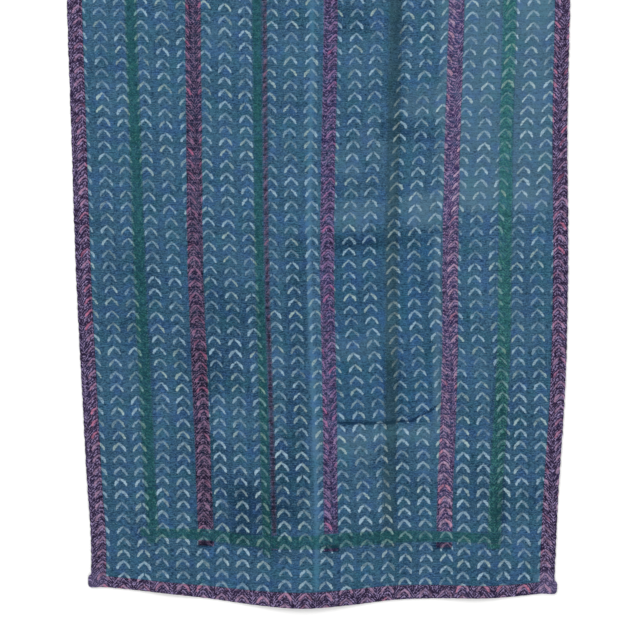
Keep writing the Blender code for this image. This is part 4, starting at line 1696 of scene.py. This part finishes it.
@dataclass
class Binding:
    """The folded strip round the edges, with bulky folded-in corners at the lower end."""

    maker: Maker
    leaf_points: int = 9
    under_points: int = 4
    fold_points: int = 5
    fold_depth: float = 0.0026
    inside_depth: float = 0.006
    inside_heights: tuple[float, float, float, float] = (0.12, 0.15, 0.80, 0.86)
    round_edge: float = 0.008
    bulge: float = 0.006
    reach: float = 0.022
    out: float = 0.007
    thicker: float = 0.0014
    scallop: float = 0.0011
    end_scallop: float = 0.6
    end_pitch: float = 0.0247
    scallop_middle: float = 0.6
    scallop_spread: float = 0.5
    scallop_turn: float = 1.7
    scalloped: float = 0.02
    least_share: float = 0.003
    least_row: float = 0.003
    along: int = 205
    inner_from: float = 1.6
    corner_steps: tuple[float, ...] = (0.0, 0.002, 0.005, 0.009, 0.014, 0.020, 0.027)
    plain_steps: tuple[float, ...] = (0.0, 0.004, 0.015)
    tip_angles: tuple[float, ...] = (88, 72, 55, 38, 20)
    tip_least: float = 0.02
    tip_depth: float = 0.35
    tip_height: float = 0.45
    crown_ends: tuple[float, float] = (0.05, 0.95)

    def section(self) -> list[tuple[float, float, bool]]:
        """The section of the binding.

        Returns:
            Points round it: how far in from the edge, how high from 0, the lower leaf's outside, to
            1, the upper leaf's outside, and whether the point is on the hidden inside.
        """
        width, deep = self.maker.lay.binding, self.fold_depth
        upper = [(float(d), 1.0, False) for d in np.linspace(width, deep, self.leaf_points)]
        turns = np.linspace(0, math.pi, self.fold_points + 2)[1:-1]
        fold = [(deep * (1 - math.sin(a)), 0.5 + 0.5 * math.cos(a), False) for a in turns]
        lower = [(float(d), 0.0, False) for d in np.linspace(deep, width, self.under_points)]
        depths = (width, self.inside_depth, self.inside_depth, width)
        return upper + fold + lower + [(d, h, True) for d, h in zip(depths, self.inside_heights)]

    def side_piece(self, side: Side) -> None:
        """Makes the binding down the left or right edge, between the two end strips."""
        lay = self.maker.lay
        stop = lay.binding + lay.gap
        row = SewnOn(self.maker).heights(stop, lay.length - stop)[:, None]
        columns = []
        draft = self.maker.draft()
        turn = row / (2 * lay.half_row)
        uneven = self.scallop_spread * cloud(turn * self.scallop_turn, turn * 0, Field.BINDING_EDGE)
        wave = np.abs(np.sin(math.pi * turn)) - self.scallop_middle + uneven
        for inward, height, hidden in self.section():
            outward = self.scallop * wave * (inward < self.scalloped) * (not hidden)
            share = (inward - outward) / lay.width_at(row)
            real = share if side is Side.LEFT else 1 - share
            low, high = self.leaf_heights(np.maximum(share, self.least_share), side, row)
            z = low + (high - low) * height
            columns.append(draft.add(real, row, z)[:, 0])
        self.close(draft, np.stack(columns, axis=1))
        piece = self.sewn(draft, side)

    def leaf_heights(self, share: Array, side: Side, row: Array) -> tuple[Array, Array]:
        """The heights of the binding's lower and upper outsides over the layers."""
        lay = self.maker.lay
        real = 1 - share if side is Side.RIGHT else share
        low = lay.swell(real, lay.strayed(real, row))
        return low, lay.face(real, row) + lay.gap + lay.strip

    def end_piece(self, side: Side) -> None:
        """Makes the binding across the lower or upper end, folded shut at both corners."""
        lay = self.maker.lay
        lower = side is Side.LOWER
        width = float(lay.width_at(0.0 if lower else lay.length))
        first = self.reach * self.inner_from
        inner = np.linspace(first, width - first, self.along)
        corner = np.array(self.corner_steps if lower else self.plain_steps)
        # Past a corner at the lower end the rings close in a half round.
        tip = -self.out * np.sin(np.radians(self.tip_angles)) if lower else np.array([])
        distances = np.concatenate([tip, corner, inner, width - corner[::-1], width - tip[::-1]])
        draft = self.maker.draft()
        rings = [self.ring(draft, float(distance), width, side) for distance in distances]
        self.close(draft, np.stack(rings))
        piece = self.sewn(draft, side)

    def ring(self, draft: MeshDraft, distance: float, width: float, side: Side) -> Array:
        """Adds one section of an end binding.

        Args:
            draft: the piece.
            distance: how far the section is from the left side; below 0 it is past the corner.
            width: the cloth's width there.
            side: which end.

        Returns:
            The numbers of the section's points.
        """
        lay = self.maker.lay
        lower = side is Side.LOWER
        from_side = min(distance, width - distance)
        past = max(-from_side, 0.0)
        shrink = math.sqrt(max(1 - (past / self.out) ** 2, self.tip_least)) if past else 1.0
        closed = self.tip_depth + (1 - self.tip_depth) * shrink if past else 1.0
        swollen = math.exp(-((max(from_side, 0.0) / self.reach) ** 2)) if lower else 0.0
        share = float(np.clip(distance / width, 0.0, 1.0))
        held = np.array(np.clip(share, self.least_share, 1 - self.least_share))
        shift = Vector((distance - share * width, 0.0, 0.0))
        wave = abs(math.sin(math.pi * distance / self.end_pitch)) - self.scallop_middle
        ragged = self.scallop * self.end_scallop * wave * (1 - swollen)
        middle = (lay.binding - self.bulge * swollen) / 2
        numbers = []
        for inward, height, hidden in self.section():
            out = (self.bulge * swollen + ragged) * (inward < self.scalloped) * (not hidden)
            at = middle + (inward - out - middle) * closed
            row = at if lower else lay.length - at
            inside = np.array(np.clip(row, self.least_row, lay.length - self.least_row))
            low = float(lay.swell(held, inside))
            high = float(lay.face(held, inside)) + lay.gap + lay.strip
            crown = math.sin(math.pi * np.clip(inward / lay.binding, *self.crown_ends))
            high += self.thicker * swollen * crown
            centre = low + (high - low) * self.tip_height
            z = centre + (low + (high - low) * height - centre) * shrink
            numbers.append(draft.add(np.array(share), np.array(row), np.array(z), shift).item())
        return np.array(numbers)

    def close(self, draft: MeshDraft, grid: Array) -> None:
        """Covers the rings of a binding and caps its two ends."""
        draft.quads(grid, around=True)
        draft.face(grid[0])
        draft.face(grid[-1])

    def sewn(self, draft: MeshDraft, side: Side) -> bpy.types.Object:
        """Makes the piece of one edge.

        Args:
            draft: its points and faces.
            side: which edge.

        Returns:
            The piece.
        """
        name = f"binding_{side.value}"
        piece = draft.finish(name + "_cloth", [self.maker.finish("binding")])
        self.maker.place(piece, "binding_cotton", (name,))
        return piece

    def build(self) -> None:
        """Makes the four bindings."""
        for side in (Side.LEFT, Side.RIGHT):
            self.side_piece(side)
        for side in (Side.LOWER, Side.UPPER):
            self.end_piece(side)


@dataclass
class Stitching:
    """The threads: rows of running stitch across the throw, and the stitches along each strip."""

    maker: Maker
    pitch: float = 0.008
    stitch: float = 0.0052
    radius: float = 0.0004
    seed: int = 4
    lengths: tuple[float, float] = (0.75, 1.2)
    radii: tuple[float, float] = (0.8, 1.2)
    proud: float = 0.0002
    margin: float = 0.004
    pitch_stray: float = 0.0007
    row_stray: float = 0.0004
    missed: float = 0.05
    first: float = 0.003
    strip_stray: float = 0.0008
    inset: float = 0.0006
    slant: float = 0.9
    slant_stray: float = 0.15
    dive: float = 0.9
    crown: float = 1.15
    belly: float = 0.3

    def spindles(self, centre: Array, along: Array, length: Array, radius: Array) -> bpy.types.Mesh:
        """Makes many short stitches, each pointed where it dives into the cloth.

        Args:
            centre: the middle of each stitch, on the surface.
            along: the direction of each, on the plan.
            length: how long each is.
            radius: how thick each is.

        Returns:
            One mesh of them all.
        """
        along = along / np.linalg.norm(along, axis=1, keepdims=True)
        r = radius[:, None]
        side = np.stack([-along[:, 1], along[:, 0], np.zeros(len(along))], axis=1) * r
        up = np.array([0.0, 0.0, 1.0]) * r
        half = along * length[:, None] / 2
        points = np.stack(
            [
                centre - half - up * self.dive,
                centre + up * self.crown,
                centre + side - up * self.belly,
                centre - side - up * self.belly,
                centre + half - up * self.dive,
            ],
            axis=1,
        )
        faces = np.array([[0, 2, 1], [0, 3, 2], [0, 1, 3], [4, 1, 2], [4, 2, 3], [4, 3, 1]])[None]
        base = np.arange(len(centre))[:, None, None] * points.shape[1]
        mesh = bpy.data.meshes.new("stitches")
        mesh.from_pydata(points.reshape(-1, 3).tolist(), [], (base + faces).reshape(-1, 3).tolist())
        mesh.shade_smooth()
        return mesh

    def on_binding(self, share: Array, row: Array) -> Array:
        """Whether each place lies on the binding."""
        lay = self.maker.lay
        side = np.minimum(share, 1 - share) * lay.width_at(row)
        return (side < lay.binding) | (np.minimum(row, lay.length - row) < lay.binding)

    def piece(self, name: str, yarn: Yarn, slot: str, share: Array, row: Array, slant: Array) -> None:
        """Makes one piece of many stitches on the face.

        Args:
            name: its name.
            yarn: its finish.
            slot: its record slot.
            share: share of the width of each stitch.
            row: height of each among the stitched rows.
            slant: direction of each on the plan, as an angle from +X.
        """
        lay = self.maker.lay
        rng = np.random.default_rng(self.seed + len(share))
        top = lay.face(share, row) + lay.cover(share, row, Level.CROSS) + self.proud
        top = np.where(self.on_binding(share, row), top + lay.gap + lay.strip, top)
        x, y = lay.plan(share, lay.strayed(share, row))
        centre = np.stack([x, y, top], axis=1)
        along = np.stack([np.cos(slant), np.sin(slant), np.zeros(len(slant))], axis=1)
        length = self.stitch * rng.uniform(*self.lengths, len(share))
        radius = self.radius * rng.uniform(*self.radii, len(share))
        mesh = self.spindles(centre, along, length, radius)
        mesh.name = name
        mesh.materials.append(yarn.material())
        piece = bpy.data.objects.new(name, mesh)
        bpy.context.scene.collection.objects.link(piece)
        self.maker.place(piece, slot, ())

    def running(self) -> tuple[Array, Array]:
        """The running stitches' shares of the width and rows."""
        lay = self.maker.lay
        rng = np.random.default_rng(self.seed)
        shares, rows = [], []
        for k in range(1, 2 * lay.rows):
            row = k * lay.half_row
            first = rng.uniform(self.margin, self.margin + self.pitch)
            width = float(lay.width_at(row))
            where = np.arange(first, width - self.margin, self.pitch)
            where = where + rng.normal(0, self.pitch_stray, len(where))
            kept = rng.random(len(where)) > self.missed
            shares.append(where[kept] / width)
            rows.append(np.full(kept.sum(), row) + rng.normal(0, self.row_stray, kept.sum()))
        return np.concatenate(shares), np.concatenate(rows)

    def along_strips(self) -> tuple[Array, Array, Array]:
        """The small slanting stitches that hold the strips: shares, rows and slants."""
        lay = self.maker.lay
        rng = np.random.default_rng(self.seed + 1)
        found = []
        for line in lay.long_strips.values():
            row = np.arange(line.end + self.first, lay.length - line.end, self.pitch)
            row = row + rng.normal(0, self.strip_stray, len(row))
            for edge, inward in zip(lay.edges(line, row), (1.0, -1.0)):
                share = edge + inward * self.inset / lay.width_at(row)
                slant = math.pi / 2 + inward * rng.normal(self.slant, self.slant_stray, len(row))
                found.append((share, row, slant))
        return tuple(np.concatenate(parts) for parts in zip(*found))

    def build(self) -> None:
        """Makes all the threads."""
        lay = self.maker.lay
        share, row = self.running()
        on_red = self.on_binding(share, row)
        for name, line in lay.long_strips.items():
            if name.startswith("red"):
                left, right = lay.edges(line, row)
                on_red |= (share > left) & (share < right) & (row > line.end) & (row < lay.length - line.end)
        blue = Yarn("overdyed cotton yarn", "#3f6782", "#86a5b5")
        lilac = Yarn("lilac cotton yarn", "#5a4468", "#a38bab")
        dark = Yarn("dark cotton yarn", "#2b4a60", "#6f8fa0")
        level = np.zeros(len(share))
        for name, yarn, slot, chosen in (
            ("running_stitches", blue, "ground_cotton", ~on_red),
            ("running_stitches_red", lilac, "binding_cotton", on_red),
        ):
            self.piece(name, yarn, slot, share[chosen], row[chosen], level[chosen])
        self.piece("strip_stitches", dark, "ground_cotton", *self.along_strips())


@dataclass
class Studio:
    """The pale floor, the soft light and the camera straight above."""

    metres_a_pixel: float = 1.270 / 503
    frame_pixels: int = 640
    centre_pixel: float = 320.0
    middle_pixel_x: float = 318.5
    lowest_pixel_y: float = 608.0
    lower_end: float = -1.780 / 2
    camera_height: float = 5.0
    sensor: float = 36.0
    floor_half: float = 8.0
    floor_drop: float = 0.0006
    floor_tone: str = "#fbfbfa"
    floor_roughness: float = 0.95
    floor_specular: float = 0.1
    window_at: Vector = Vector((-3.0, 3.4, 5.0))
    window_power: float = 190.0
    fill_at: Vector = Vector((3.0, -2.6, 5.0))
    fill_power: float = 70.0
    lamp_size: float = 3.5
    surround: float = 0.8

    def floor(self) -> None:
        """Makes the floor, a matt pale board."""
        mesh = bpy.data.meshes.new("floor")
        far = self.floor_half
        corners = [(x, y, -self.floor_drop) for x, y in ((-far, -far), (far, -far), (far, far), (-far, far))]
        mesh.from_pydata(corners, [], [(0, 1, 2, 3)])
        g = Graph("matt white board")
        shader = g.add(
            "BsdfPrincipled",
            {
                "Base Color": linear(self.floor_tone),
                "Roughness": self.floor_roughness,
                "Specular IOR Level": self.floor_specular,
            },
        )
        g.add("OutputMaterial", {"Surface": shader})
        mesh.materials.append(g.material)
        board = bpy.data.objects.new("floor", mesh)
        bpy.context.scene.collection.objects.link(board)

    def lamp(self, name: str, at: Vector, power: float) -> None:
        """Adds a soft square light that points at the middle of the throw."""
        light = bpy.data.lights.new(name, "AREA")
        light.shape = "SQUARE"
        light.size = self.lamp_size
        light.energy = power
        lamp = bpy.data.objects.new(name, light)
        lamp.location = at
        lamp.rotation_euler = (-at).to_track_quat("-Z", "Y").to_euler()
        bpy.context.scene.collection.objects.link(lamp)

    def lights(self) -> None:
        """Soft daylight from the upper left, a weaker fill, and a pale surround."""
        self.lamp("window", self.window_at, self.window_power)
        self.lamp("fill", self.fill_at, self.fill_power)
        world = bpy.data.worlds.new("surround")
        world.use_nodes = True
        back = world.node_tree.nodes["Background"]
        back.inputs["Color"].default_value = (1.0, 1.0, 1.0, 1.0)
        back.inputs["Strength"].default_value = self.surround
        bpy.context.scene.world = world

    def camera(self) -> None:
        """Looks straight down with the photograph's framing, which crops the upper end."""
        data = bpy.data.cameras.new("camera")
        camera = bpy.data.objects.new("camera", data)
        x = (self.centre_pixel - self.middle_pixel_x) * self.metres_a_pixel
        y = self.lower_end + (self.lowest_pixel_y - self.centre_pixel) * self.metres_a_pixel
        camera.location = (x, y, self.camera_height)
        data.sensor_width = self.sensor
        data.lens = self.sensor * self.camera_height / (self.frame_pixels * self.metres_a_pixel)
        bpy.context.scene.collection.objects.link(camera)
        bpy.context.scene.camera = camera

    def build(self) -> None:
        """Sets the whole studio up."""
        self.floor()
        self.lights()
        self.camera()
        bpy.context.scene.view_settings.view_transform = "Standard"


def main() -> None:
    """Builds the throw, piece by piece, and the studio round it."""
    logging.basicConfig(level=logging.INFO, format="%(name)s: %(message)s")
    maker = Maker()
    Studio().build()
    Quilt(maker).build()
    SewnOn(maker).build()
    Binding(maker).build()
    Stitching(maker).build()


if __name__ == "__main__":
    main()
